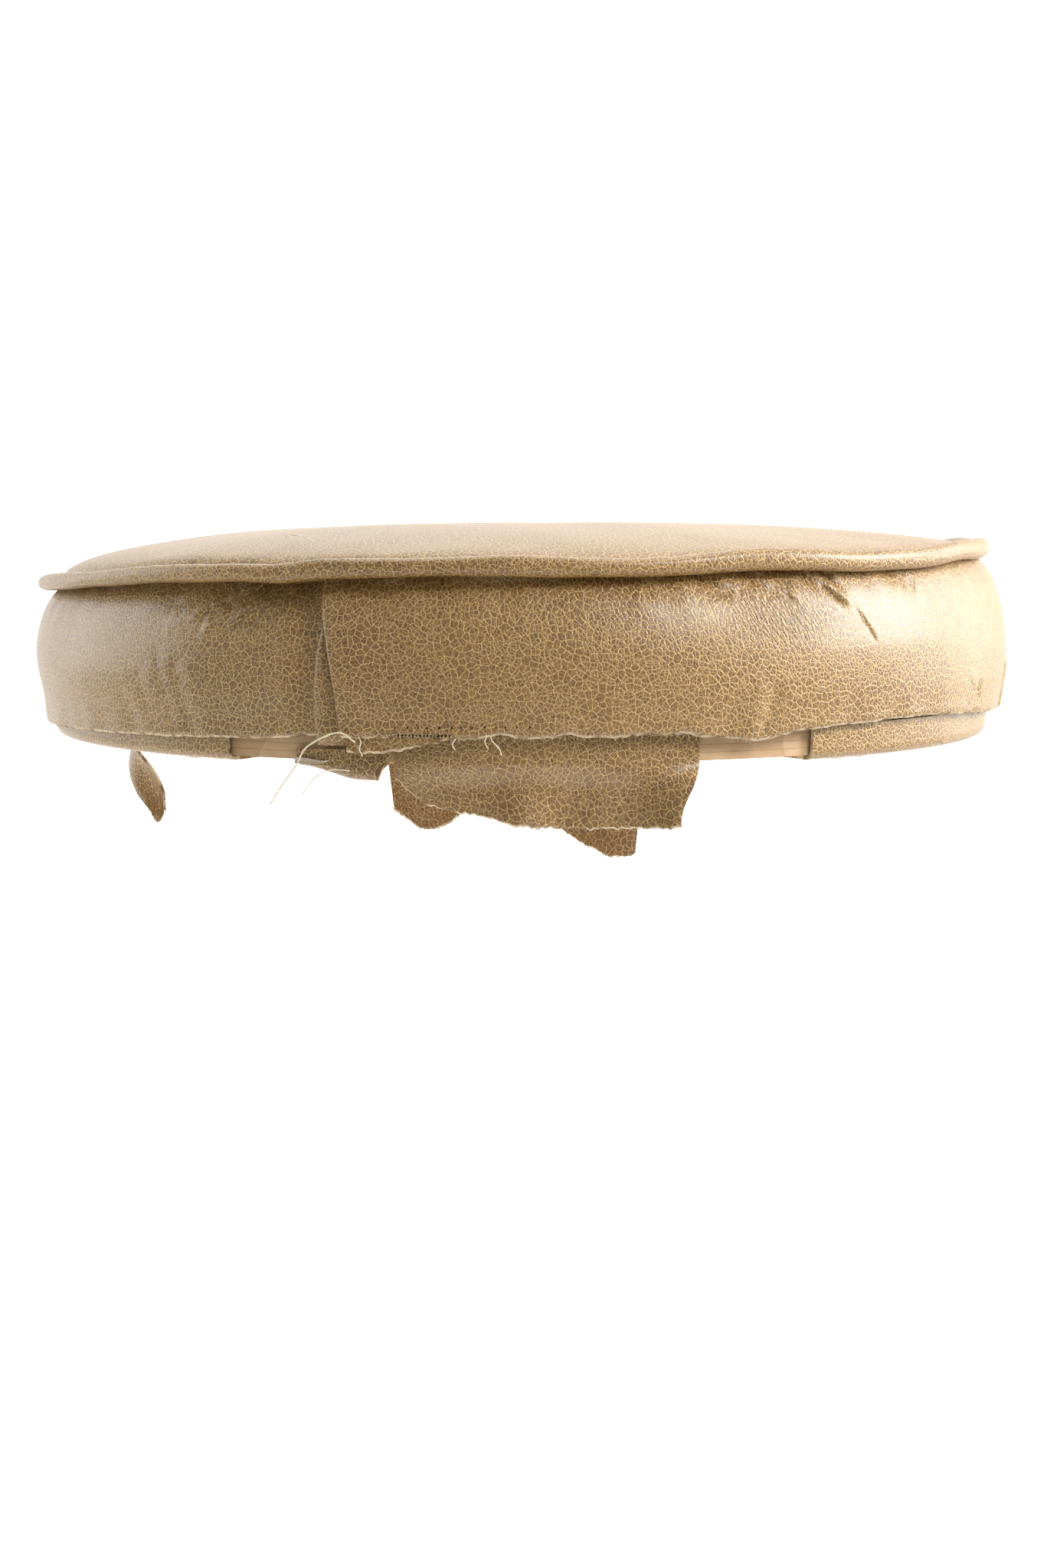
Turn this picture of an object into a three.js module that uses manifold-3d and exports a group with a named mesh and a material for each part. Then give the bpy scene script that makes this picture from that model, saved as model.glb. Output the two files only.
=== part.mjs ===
// Round upholstered seat pad for a tube-framed stool, built up as an upholsterer builds it:
// a plywood board with screw inserts, a foam core and wadding, and a vinyl cover of top panel,
// corded welt and side band. Under the board the cover's collar is stapled, and its loose
// flaps hang down inside the ring of the stool.
//
// Millimetres, +Z up. The origin is the centre of the board's underside, the face that is
// screwed to the stool. An azimuth is an angle round Z from the front (-Y), towards +X.
import * as THREE from 'three';
import { mergeVertices } from 'three/addons/utils/BufferGeometryUtils.js';
import Module from 'manifold-3d';

const wasm = await Module();
wasm.setup();

// ---- driving dimensions ------------------------------------------------------------------
const PAD_R = 180; // the widest point of the side band
const SEAM_Z = 55.8; // underside of the welt
const CROWN = 11.2; // rise of the top panel above the top of the welt
const VINYL = 1.2; // thickness of the cover
const GAP = 0.3; // between touching pieces
const BOARD_T = 12;
const EDGE_ROOM = 3.7; // at the board's edge, besides the layers of cover
const CORD_D = 5; // filler cord in the welt
const WADDING_T = 5;
const LEAN = 5.8; // how much higher the seam lies at +X, and lower at -X
const SHIFT = 2.5; // how far the cover's top has crept towards -X
const SEGMENTS = 72; // round the pad

// ---- fixings -----------------------------------------------------------------------------
const NUTS = 4;
const NUT_CIRCLE_R = 110;
const NUT_BORE_R = 3; // for an M6 screw
const NUT_BARREL_R = 4;
const NUT_FLANGE_R = 9.5;
const NUT_FLANGE_T = 1.5;
const NUT_PRONG = { along: 8.2, wide: 2.2, thick: 1, deep: 5 };
const VENTS = 3;
const VENT_R = 7;
const VENT_CIRCLE_R = 60;
const STAPLE = { crown: 10, leg: 7.5, wire: 0.9 };

// ---- lengths that follow -----------------------------------------------------------------
const BOARD_INSET = EDGE_ROOM + 4 * VINYL; // band, its lap of two more layers, front tab
const BOARD_R = PAD_R - BOARD_INSET;
const WELT_R = CORD_D / 2 + GAP + VINYL; // outside radius of the welt
const WELT_Z = SEAM_Z + WELT_R;
const WELT_CENTRE = PAD_R - WELT_R - 3.8;
const CROWN_Z = WELT_Z + WELT_R + CROWN;
const DOME_R = WELT_CENTRE;
const ALLOWANCE = 8; // seam allowances, turned down inside the band
const COLLAR_MID_Z = -(GAP + VINYL / 2); // the collar lies against the board's underside
const COLLAR_IN_R = BOARD_R - 23.5;
const HINGE_Z = -(2 * GAP + 1.5 * VINYL); // crease line of the flaps, below the collar
const HINGE_RISE = 0.4; // of a flap's top edge above its crease line

const rad = THREE.MathUtils.degToRad;
const smooth = (x) => THREE.MathUtils.smoothstep(x, 0, 1);
const polar = (r, azimuth, z) =>
  new THREE.Vector3(r * Math.sin(azimuth), -r * Math.cos(azimuth), z);
const xy = (list) => list.map(([x, y]) => new THREE.Vector2(x, y));

// ---- materials ---------------------------------------------------------------------------
const finish = (color, roughness, metalness = 0) =>
  new THREE.MeshStandardMaterial({ color, roughness, metalness });
const vinyl = finish(0xa98c60, 0.45);
const foam = finish(0xe2d3a6, 0.95);
const fibre = finish(0xf0ede6, 1.0);
const plywood = finish(0xcdb08a, 0.75);
const steel = finish(0xb4b6b8, 0.35, 1.0);
const thread = finish(0xe9dfc6, 0.8);

// ---- solids ------------------------------------------------------------------------------
// The top of the cover leans and creeps: everything above the board takes part in that.
function settled(geometry) {
  const at = geometry.getAttribute('position');
  const v = new THREE.Vector3();
  for (let i = 0; i < at.count; i += 1) {
    v.fromBufferAttribute(at, i);
    const share = Math.max(0, (v.z - BOARD_T) / (SEAM_Z - BOARD_T));
    at.setXYZ(i, v.x - SHIFT * share, v.y, v.z + LEAN * (v.x / PAD_R) * share);
  }
  return geometry;
}

// A profile of [radius, z] turned round Z.
function turned(profile, segments = SEGMENTS) {
  return new THREE.LatheGeometry(profile, segments).rotateX(Math.PI / 2);
}

// The outline of a strip of the given thickness along a line of points.
function strip(line, thickness) {
  const side = (sign) =>
    line.map((p, i) => {
      const before = line[Math.max(i - 1, 0)];
      const after = line[Math.min(i + 1, line.length - 1)];
      const a = p.clone().sub(before).normalize();
      const b = after.clone().sub(p).normalize();
      const along = a.add(b).normalize();
      const turn = i > 0 && i < line.length - 1 ? Math.abs(b.dot(along)) : 1;
      const out = (sign * thickness) / 2 / Math.max(turn, 0.5);
      return new THREE.Vector2(p.x - along.y * out, p.y + along.x * out);
    });
  return [...side(-1), ...side(1).reverse()];
}

// A strip turned round Z: a ring, or a dish if its line starts on the axis.
function turnedStrip(line, thickness) {
  const outline = strip(line, thickness);
  if (line[0].x > 0) outline.push(outline[0].clone());
  else outline[0].x = outline[outline.length - 1].x = 0;
  return turned(outline);
}

// A sheet with thickness: two grids of points, outer(i, j) and inner(i, j), joined at the rim.
function sheetSolid(columns, rows, outer, inner) {
  const points = [];
  for (const face of [outer, inner]) {
    for (let i = 0; i <= columns; i += 1) {
      for (let j = 0; j <= rows; j += 1) points.push(face(i / columns, j / rows));
    }
  }
  const half = (columns + 1) * (rows + 1);
  const at = (i, j, back) => i * (rows + 1) + j + (back ? half : 0);
  const index = [];
  const quad = (a, b, c, d) => index.push(a, b, c, a, c, d);
  for (let i = 0; i < columns; i += 1) {
    for (let j = 0; j < rows; j += 1) {
      quad(at(i, j), at(i + 1, j), at(i + 1, j + 1), at(i, j + 1));
      quad(at(i, j, 1), at(i, j + 1, 1), at(i + 1, j + 1, 1), at(i + 1, j, 1));
    }
    quad(at(i, 0), at(i, 0, 1), at(i + 1, 0, 1), at(i + 1, 0));
    quad(at(i, rows), at(i + 1, rows), at(i + 1, rows, 1), at(i, rows, 1));
  }
  for (let j = 0; j < rows; j += 1) {
    quad(at(0, j), at(0, j + 1), at(0, j + 1, 1), at(0, j, 1));
    quad(at(columns, j), at(columns, j, 1), at(columns, j + 1, 1), at(columns, j + 1));
  }
  return new THREE.BufferGeometry().setFromPoints(points).setIndex(index);
}

// An arc of a strip's outline round Z, between two azimuths, with flat ends. The line may
// change along the arc: lineAt(azimuth) gives it, always with the same number of points.
function arcStrip(from, to, lineAt, thickness, columns) {
  const rows = lineAt(from).length - 1;
  const face = (far) => (s, t) => {
    const azimuth = from + (to - from) * s;
    const outline = strip(lineAt(azimuth), thickness);
    const k = Math.round(t * rows);
    const p = far ? outline[outline.length - 1 - k] : outline[k];
    return polar(p.x, azimuth, p.y);
  };
  return sheetSolid(columns, rows, face(false), face(true));
}

function toManifold(geometry) {
  const bare = new THREE.BufferGeometry();
  bare.setAttribute('position', geometry.getAttribute('position'));
  bare.setIndex(geometry.getIndex());
  const merged = mergeVertices(bare, 1e-4);
  const made = new wasm.Mesh({
    numProp: 3,
    vertProperties: merged.getAttribute('position').array,
    triVerts: new Uint32Array(merged.getIndex().array),
  });
  return new wasm.Manifold(made);
}

function fromManifold(solid) {
  const mesh = solid.getMesh();
  const geometry = new THREE.BufferGeometry();
  geometry.setAttribute('position', new THREE.BufferAttribute(mesh.vertProperties, 3));
  geometry.setIndex(new THREE.BufferAttribute(mesh.triVerts, 1));
  return geometry;
}

function cut(geometry, tools) {
  const rest = tools.reduce((solid, tool) => solid.subtract(toManifold(tool)), toManifold(geometry));
  return fromManifold(rest);
}

function joined(pieces) {
  return fromManifold(pieces.map(toManifold).reduce((sum, piece) => sum.add(piece)));
}

function post(radius, low, high, segments = 20) {
  return new THREE.CylinderGeometry(radius, radius, high - low, segments)
    .rotateX(Math.PI / 2)
    .translate(0, 0, (high + low) / 2);
}

// ---- profiles of the cover ---------------------------------------------------------------
const domeZ = (r) => CROWN_Z - CROWN * (r / DOME_R) ** 3;

// Side band, from the hem up to the seam, as [distance in from the widest point, z].
const BAND_PROFILE = new THREE.CatmullRomCurve3(
  [[3, 2], [2.5, 6], [1.7, 13], [0, 27], [1.6, 39], [5.2, 49], [8.6, 54]].map(
    ([inset, z]) => new THREE.Vector3(PAD_R - inset, (z * SEAM_Z) / 55.8, 0),
  ),
);
const bandR = (z) => {
  const points = BAND_PROFILE.getPoints(60);
  const k = points.findIndex((p) => p.y >= z);
  if (k < 1) return points[k === 0 ? 0 : 60].x;
  const [a, b] = [points[k - 1], points[k]];
  return THREE.MathUtils.lerp(a.x, b.x, (z - a.y) / (b.y - a.y));
};

// The band's lower edge: it has ridden up at the front and to the right, with a dip between.
const hump = (azimuth, at, width) => {
  const turns = Math.round((azimuth - rad(at)) / (2 * Math.PI));
  return Math.exp(-(((azimuth - rad(at) - 2 * Math.PI * turns) / rad(width)) ** 2));
};
const hemZ = (azimuth) =>
  4.6 +
  4 * Math.max(0, Math.cos(azimuth)) +
  2.5 * Math.sin(azimuth) +
  0.8 * hump(azimuth, -19, 6) -
  2.7 * hump(azimuth, 24, 4.5) +
  2 * hump(azimuth, 48, 14);

// Radii of the seam allowances, from the band's inwards to the top panel's.
const layer = VINYL + GAP;
const ALLOWANCE_R = [0, 1, 2, 3].map((k) => WELT_CENTRE - WELT_R + 1.1 - k * layer);
const ALLOWANCE_LOW = SEAM_Z - ALLOWANCE;

// ---- fixings under the board -------------------------------------------------------------
const nutPlaces = Array.from({ length: NUTS }, (_, k) =>
  polar(NUT_CIRCLE_R, (Math.PI / NUTS) * (2 * k + 1), 0),
);
const NUT_TOP = BOARD_T - GAP;

// A T-nut without its bore. With grow above 0 it is the room that the nut needs in the board.
function nutBlank(grow = 0) {
  const { along, wide, thick, deep } = NUT_PRONG;
  const low = grow ? -1 : 0;
  const high = NUT_TOP + (grow ? 1 : 0);
  const under = NUT_TOP - NUT_FLANGE_T;
  const prongs = [0, 1, 2, 3].map((k) =>
    new THREE.BoxGeometry(thick + 2 * grow, wide + 2 * grow, deep + grow)
      .translate(along, 0, under + GAP - (deep + grow) / 2)
      .rotateZ((Math.PI / 2) * k),
  );
  const flange = post(NUT_FLANGE_R + grow, under - grow, high);
  const barrel = post(NUT_BARREL_R + grow, low, under + NUT_FLANGE_T / 2, 16);
  return joined([flange, barrel, ...prongs]);
}

// The flaps of the torn collar. The front one hangs from a strip stapled to the board's edge,
// the next two from strips stapled under the board, the last from the collar itself. A flap
// has three lengths: at its left side, its middle and its right side.
const TAB_DEPTH = 12;
const EDGE_TAB = { from: rad(-14.5), to: rad(19), low: 0.4, high: 11.2, staples: 9.9 };
const FLAPS = {
  front: { x: 6, y: 3.5 - BOARD_R, width: 96, lengths: [8, 15.5, 18], taper: 0.06 },
  left: { x: -29, y: 79.5 - BOARD_R, width: 34, lengths: [22, 28, 21], taper: 0.25 },
  right: { x: 22, y: 109.5 - BOARD_R, width: 46, lengths: [24, 37, 42], taper: 0.2 },
  side: { x: -(COLLAR_IN_R + 2), y: -3, width: 30, lengths: [30, 34, 30], taper: 0.82 },
};
const CORNER = { from: rad(-24), to: rad(-15.2) }; // the torn end of the collar, left of front

// Places are matrices that carry a piece from where it is made to where it goes.
const at = (x, y, turn = 0, z = 0) =>
  new THREE.Matrix4().makeRotationZ(turn).setPosition(x, y, z);
const moved = (geometry, place) => geometry.applyMatrix4(place);

const STAPLE_R = COLLAR_IN_R + 9;
const STAPLE_TOP = COLLAR_MID_Z - VINYL / 2 - GAP;
const onCollar = (degrees) => {
  const { x, y } = polar(STAPLE_R, rad(degrees), 0);
  return at(x, y, rad(degrees), STAPLE_TOP);
};
const onTab = ({ x, y }) => at(x, y + TAB_DEPTH / 2, 0, STAPLE_TOP);
const onEdge = (degrees) =>
  new THREE.Matrix4()
    .makeRotationZ(rad(degrees))
    .multiply(at(0, -(BOARD_R - STAPLE_TOP), 0, EDGE_TAB.staples))
    .multiply(new THREE.Matrix4().makeRotationX(-Math.PI / 2));
const staplePlaces = [
  ...Array.from({ length: 14 }, (_, k) => onCollar(50 + 20 * k)),
  onCollar(-19.5),
  onTab(FLAPS.left),
  onTab(FLAPS.right),
  ...[-5.5, 5, 15].map(onEdge),
];

// A staple is made with its crown just below z = 0 and its legs pointing up.
function staple() {
  const { crown, leg, wire } = STAPLE;
  const x = crown / 2;
  const tip = leg - wire;
  const shape = new THREE.Shape(
    xy([
      [-x, -wire], [x, -wire], [x, tip - 1], [x - wire / 2, tip], [x - wire, tip - 1],
      [x - wire, 0], [wire - x, 0], [wire - x, tip - 1], [wire / 2 - x, tip], [-x, tip - 1],
    ]),
  );
  return new THREE.ExtrudeGeometry(shape, { depth: wire, bevelEnabled: false })
    .translate(0, 0, -wire / 2)
    .rotateX(Math.PI / 2);
}

// The room that the staples' legs need in what they hold.
function legRoom() {
  const { crown, leg, wire } = STAPLE;
  const side = wire + 2 * GAP;
  const low = GAP / 2;
  const high = leg + GAP;
  return staplePlaces.flatMap((place) =>
    [-1, 1].map((sign) => {
      const room = new THREE.BoxGeometry(side, side, high - low);
      return moved(room.translate((sign * (crown - wire)) / 2, 0, (low + high) / 2), place);
    }),
  );
}

// ---- the rigid pieces --------------------------------------------------------------------
function tNut() {
  return cut(nutBlank(), [post(NUT_BORE_R, -1, BOARD_T + 1, 16)]);
}

function seatBoard() {
  const blank = post(BOARD_R, 0, BOARD_T, SEGMENTS);
  const nutRoom = nutPlaces.map(({ x, y }) => nutBlank(GAP).translate(x, y, 0));
  const vents = Array.from({ length: VENTS }, (_, k) => {
    const { x, y } = polar(VENT_CIRCLE_R, Math.PI + (2 * Math.PI * k) / VENTS, 0);
    return post(VENT_R, -1, BOARD_T + 1, 16).translate(x, y, 0);
  });
  return cut(blank, [...nutRoom, ...vents, ...legRoom()]);
}

// ---- the filling -------------------------------------------------------------------------
const NECK_R = ALLOWANCE_R[3] - VINYL / 2 - GAP; // inside the seam allowances

// The foam keeps clear of the band's tucked end, which lies two layers deeper than the rest.
function foamCore() {
  const inset = 3 * layer + 2 * GAP;
  const bottom = BOARD_T + GAP;
  const top = (r) => domeZ(r) - VINYL - WADDING_T - 2 * GAP;
  const wall = [0.12, 0.45, 0.75].map((share) => {
    const z = bottom + (ALLOWANCE_LOW - bottom) * share;
    return [bandR(z) - inset, z];
  });
  const dome = [1, 0.85, 0.6, 0.3, 0].map((share) => [NECK_R * share, top(NECK_R * share)]);
  return turned(
    xy([[0, bottom], [BOARD_R - 4, bottom], ...wall, [NECK_R, ALLOWANCE_LOW - 1], ...dome]),
  );
}

function wadding() {
  const reach = NECK_R - 2.5;
  const under = VINYL + GAP + WADDING_T / 2;
  const line = [0, 0.3, 0.6, 0.85, 1].map((s) => [reach * s, domeZ(reach * s) - under]);
  return turnedStrip(xy(line), WADDING_T);
}

// ---- the cover ---------------------------------------------------------------------------
function topPanel() {
  const edge = ALLOWANCE_R[3];
  const dome = [0, 0.3, 0.55, 0.78, 0.93, 0.985].map((s) => [
    edge * s,
    domeZ(edge * s) - VINYL / 2,
  ]);
  return turnedStrip(
    xy([...dome, [edge, domeZ(edge) - 2.4], [edge, SEAM_Z], [edge, ALLOWANCE_LOW]]),
    VINYL,
  );
}

// The welt is a strip folded round a cord: up its inner side, round it and down again.
function weltCover() {
  const r = WELT_R - VINYL / 2;
  const [, outerTail, innerTail] = ALLOWANCE_R;
  const round = [125, 85, 45, 5, -35, -75, -115].map((deg) => [
    WELT_CENTRE + r * Math.cos(rad(deg)),
    WELT_Z + r * Math.sin(rad(deg)),
  ]);
  return turnedStrip(
    xy([
      [innerTail, ALLOWANCE_LOW],
      [innerTail, SEAM_Z + 1.8],
      [innerTail + 1.2, WELT_Z + 1],
      ...round,
      [outerTail + 0.25, SEAM_Z + 0.2],
      [outerTail, SEAM_Z - 1.6],
      [outerTail, ALLOWANCE_LOW],
    ]),
    VINYL,
  );
}

function weltCord() {
  return new THREE.TorusGeometry(WELT_CENTRE, CORD_D / 2, 8, SEGMENTS).translate(0, 0, WELT_Z);
}

// One strip right round the pad: its first end laps over its last, left of the front.
const LAP_SHARES = [0, 0.2, 0.45, 0.7]; // heights that the layers at the lap have in common
const LAP = { edge: rad(-19.4), tucked: rad(-10), flat: rad(-24), ramp: rad(12) };

// How far the tucked end lies inside the rest of the band, at an azimuth left of the lap.
const sinkAt = (azimuth) => {
  const back = azimuth > Math.PI ? azimuth - 2 * Math.PI : azimuth;
  if (back > 0) return 0;
  return 2 * layer * (1 - smooth((LAP.flat - back) / LAP.ramp));
};

const wallLine = (azimuth, sink, shares, top = SEAM_Z - 1.8) => {
  const low = hemZ(azimuth);
  return shares.map((s) => {
    const z = low + (top - low) * s;
    return [bandR(z) - VINYL / 2 - sink, z];
  });
};

function sideBand() {
  const lineAt = (azimuth) => {
    const sink = azimuth > 0 ? sinkAt(azimuth) : 0;
    const [foldR] = ALLOWANCE_R;
    return xy([
      ...wallLine(azimuth, sink, [0, 0.2, 0.45, 0.7, 0.9]),
      [foldR + layer, SEAM_Z - 2.2],
      [foldR + layer / 2, SEAM_Z - 1.3],
      [foldR, SEAM_Z - 2.2],
      [foldR, ALLOWANCE_LOW],
    ]);
  };
  const tuckAt = (azimuth) => xy(wallLine(azimuth, 2 * layer, LAP_SHARES));
  const last = LAP.edge + 2 * Math.PI - rad(0.5);
  const whole = arcStrip(LAP.edge, last, lineAt, VINYL, SEGMENTS);
  const tucked = arcStrip(LAP.edge - rad(2), LAP.tucked, tuckAt, VINYL, 4);
  return joined([whole, tucked]);
}

// The turned end of the strip, which shows as a pleat that widens downwards beside the lap.
function lapFacing() {
  const face = (sign) => (s, t) => {
    const share = LAP_SHARES[Math.round(3 * t)];
    const left = LAP.edge - rad(3.2) * (1 - share / 0.7) ** 0.6;
    const azimuth = left + (rad(-13) - left) * s;
    const [[r, z]] = wallLine(azimuth, layer, [share]);
    return polar(r + (sign * VINYL) / 2, azimuth, z);
  };
  return sheetSolid(4, 3, face(1), face(-1));
}

// What is left of the turned-up hem below the row of needle holes, thinning out to the right.
function hemRemnant() {
  const face = (sign) => (s, t) => {
    const azimuth = LAP.edge + rad(0.4) + rad(11) * s;
    const high = hemZ(azimuth) - 0.4;
    const z = high - (4.2 - 3 * s) * (1 - t);
    return polar(bandR(4) - VINYL / 2 + (sign * VINYL) / 2, azimuth, z);
  };
  return sheetSolid(8, 1, face(1), face(-1));
}

// ---- the collar under the board ----------------------------------------------------------
// The collar comes round the board's edge from inside the band and is stapled underneath.
function collar() {
  const z = COLLAR_MID_Z;
  const r = BOARD_R + 2.2;
  const line = [[COLLAR_IN_R, z], [BOARD_R + 0.6, z], [r - 0.5, z + 1.2], [r, 3], [r + 0.2, 9.5]];
  const ring = arcStrip(rad(32), rad(328), () => xy(line), VINYL, SEGMENTS);
  return cut(ring, legRoom());
}

function collarCorner() {
  const z = COLLAR_MID_Z;
  const r = BOARD_R + GAP + VINYL / 2;
  const line = [
    [STAPLE_R - 4, z], [BOARD_R - 6, z], [BOARD_R - 3.5, z - 3.2], [BOARD_R - 1, z - 4],
    [r - 0.1, z - 2.6], [r, z + 0.6], [r, 3.2],
  ];
  const piece = arcStrip(CORNER.from, CORNER.to, () => xy(line), VINYL, 4);
  return cut(piece, legRoom());
}

function edgeTab() {
  const { from, to, low, high } = EDGE_TAB;
  const r = BOARD_R + GAP + VINYL / 2;
  const piece = arcStrip(from, to, () => xy([[r, low], [r, high]]), VINYL, 8);
  return cut(piece, legRoom());
}

function tab({ x, y, width }) {
  const plate = new THREE.BoxGeometry(width + 4, TAB_DEPTH, VINYL);
  return cut(moved(plate, at(x, y + TAB_DEPTH / 2, 0, COLLAR_MID_Z)), legRoom());
}

// A flap hangs straight down from its crease line and waves a little towards its free edge.
function flap({ x, y, width, lengths, taper }, turn = 0) {
  const [a, b, c] = lengths;
  const lengthAt = (s) => a * (1 - s) * (1 - 2 * s) + 4 * b * s * (1 - s) + c * s * (2 * s - 1);
  const face = (sign) => (s, t) =>
    new THREE.Vector3(
      width * (s - 0.5) * (1 - taper * t),
      2 * Math.sin(2 * Math.PI * s) * t ** 2 + (sign * VINYL) / 2,
      HINGE_Z + HINGE_RISE - (lengthAt(s) + HINGE_RISE) * t,
    );
  return moved(sheetSolid(8, 5, face(-1), face(1)), at(x, y, turn));
}

// ---- a loose end of sewing thread --------------------------------------------------------
const THREAD_D = 0.5;

function looseThread() {
  const path = new THREE.CatmullRomCurve3(
    [
      [-50, -172, 6.5],
      [-55.5, -171.6, 9.4],
      [-64.8, -169.5, 5],
      [-68.4, -168.5, -0.9],
      [-73, -167, -7.3],
      [-76.8, -165.5, -13.2],
    ].map(([x, y, z]) => new THREE.Vector3(x, y, z)),
  );
  const round = new THREE.Shape().absarc(0, 0, THREAD_D / 2, 0, 2 * Math.PI);
  return new THREE.ExtrudeGeometry(round, { steps: 16, curveSegments: 8, extrudePath: path });
}

// ---- assembly ----------------------------------------------------------------------------
function volume(geometry) {
  const at = geometry.getAttribute('position');
  const index = geometry.getIndex();
  const corner = (k) => new THREE.Vector3().fromBufferAttribute(at, index.getX(k));
  let sum = 0;
  for (let i = 0; i < index.count; i += 3) {
    sum += corner(i).dot(corner(i + 1).cross(corner(i + 2))) / 6;
  }
  return sum;
}

// Turns every triangle over if the solid is inside out.
function outward(geometry) {
  if (!geometry.getIndex() || volume(geometry) > 0) return geometry;
  const index = geometry.getIndex();
  for (let i = 0; i < index.count; i += 3) {
    const first = index.getX(i);
    index.setX(i, index.getX(i + 1));
    index.setX(i + 1, first);
  }
  return geometry;
}

const group = new THREE.Group();

function add(name, geometry, material) {
  const mesh = new THREE.Mesh(outward(geometry), material);
  mesh.name = name;
  group.add(mesh);
}

add('seat_board', seatBoard(), plywood);
nutPlaces.forEach(({ x, y }, k) => add(`t_nut_${k + 1}`, tNut().translate(x, y, 0), steel));
add('foam_core', settled(foamCore()), foam);
add('wadding', settled(wadding()), fibre);
add('top_panel', settled(topPanel()), vinyl);
add('welt_cover', settled(weltCover()), vinyl);
add('welt_cord', settled(weltCord()), fibre);
add('side_band', settled(sideBand()), vinyl);
add('lap_facing', settled(lapFacing()), vinyl);
add('hem_remnant', hemRemnant(), vinyl);
add('collar', collar(), vinyl);
add('collar_corner', collarCorner(), vinyl);
add('tab_front', edgeTab(), vinyl);
add('tab_left', tab(FLAPS.left), vinyl);
add('tab_right', tab(FLAPS.right), vinyl);
for (const [name, one] of Object.entries(FLAPS)) {
  add(`flap_${name}`, flap(one, name === 'side' ? Math.PI / 2 : 0), vinyl);
}
staplePlaces.forEach((place, k) => add(`staple_${k + 1}`, moved(staple(), place), steel));
add('loose_thread', looseThread(), thread);

export default group;
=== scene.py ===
# %% [markdown]
# # A worn, round stool seat
#
# The seat is an upholstered pad: a plywood board, a foam core and a cover of tan leatherette.
# The cover is sewn from a top panel, a corded welt and a side band, and its collar is stapled
# under the board. On this one the hem has torn away at the front, so flaps of the collar hang
# below the board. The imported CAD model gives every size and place. This script gives the looks.

import math

import bpy
import numpy as np
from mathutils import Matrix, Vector


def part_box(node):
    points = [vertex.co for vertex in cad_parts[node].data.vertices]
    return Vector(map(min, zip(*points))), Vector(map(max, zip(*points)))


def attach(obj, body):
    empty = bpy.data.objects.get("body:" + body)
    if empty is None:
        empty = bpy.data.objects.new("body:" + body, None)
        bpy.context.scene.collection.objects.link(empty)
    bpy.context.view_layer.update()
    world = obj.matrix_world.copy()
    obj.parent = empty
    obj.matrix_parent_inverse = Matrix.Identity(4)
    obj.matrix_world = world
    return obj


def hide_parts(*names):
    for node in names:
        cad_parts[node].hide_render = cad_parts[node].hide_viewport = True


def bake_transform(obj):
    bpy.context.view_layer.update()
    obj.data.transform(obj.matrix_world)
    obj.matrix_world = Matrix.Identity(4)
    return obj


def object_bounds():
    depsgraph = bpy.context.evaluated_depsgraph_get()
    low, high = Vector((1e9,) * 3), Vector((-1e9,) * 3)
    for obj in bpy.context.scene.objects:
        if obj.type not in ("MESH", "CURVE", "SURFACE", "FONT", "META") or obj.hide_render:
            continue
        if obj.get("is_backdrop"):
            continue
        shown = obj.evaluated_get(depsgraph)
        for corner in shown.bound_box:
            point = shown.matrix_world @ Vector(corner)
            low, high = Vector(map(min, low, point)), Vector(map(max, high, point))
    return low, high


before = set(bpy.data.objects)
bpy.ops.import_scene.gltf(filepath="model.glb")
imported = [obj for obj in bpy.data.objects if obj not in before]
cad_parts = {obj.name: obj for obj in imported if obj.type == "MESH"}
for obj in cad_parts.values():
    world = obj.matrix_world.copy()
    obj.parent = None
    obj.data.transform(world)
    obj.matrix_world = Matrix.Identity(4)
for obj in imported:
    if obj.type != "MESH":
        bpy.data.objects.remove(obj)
CAD_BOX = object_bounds()
MM = 0.001

# %% [markdown]
# ## Camera, floor and light
#
# The camera comes first. It is a 50 mm
# lens at arm's length, just above the welt. The room is a plain white one: bright at the sides
# and behind the seat, dimmer behind the camera, with one large window to the right.

# %% Camera
camera = bpy.data.objects.new("camera", bpy.data.cameras.new("camera"))
bpy.context.scene.collection.objects.link(camera)
camera.data.lens = 50
camera.data.sensor_width = 36
CAMERA_AT = Vector((0.001, -0.830, 0.0648))
CAMERA_DOWN = 6.16
camera.location = CAMERA_AT
camera.rotation_euler = (math.radians(90 - CAMERA_DOWN), 0, 0)
camera.data.clip_end = 50
bpy.context.scene.camera = camera
bpy.context.scene.view_settings.view_transform = "Standard"
print("camera at", tuple(round(c, 3) for c in CAMERA_AT))

# %% [markdown]
# ## Writing a finish
#
# A finish is a material made of nodes. Wiring nodes by hand hides the sums that they stand
# for, so a socket is wrapped in a small class, and adding or multiplying wrapped sockets adds
# Math nodes. Every other node comes from one method, `node`.


# %% A socket that takes arithmetic
class Value:
    def __init__(self, wiring, socket):
        self.wiring = wiring
        self.socket = socket

    def maths(self, operation, *others):
        sockets = dict(enumerate([self, *others]))
        return self.wiring.node("ShaderNodeMath", {"operation": operation}, sockets)

    def __add__(self, other):
        return self.maths("ADD", other)

    def __sub__(self, other):
        return self.maths("SUBTRACT", other)

    def __rsub__(self, other):
        return self.wiring.node("ShaderNodeMath", {"operation": "SUBTRACT"}, {0: other, 1: self})

    def __mul__(self, other):
        return self.maths("MULTIPLY", other)

    __radd__ = __add__
    __rmul__ = __mul__

    def fade(self, low, high):
        """0 below low, 1 above high, with a smooth step between."""
        settings = {"interpolation_type": "SMOOTHSTEP"}
        inputs = {"Value": self, "From Min": low, "From Max": high}
        return self.wiring.node("ShaderNodeMapRange", settings, inputs)


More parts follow.
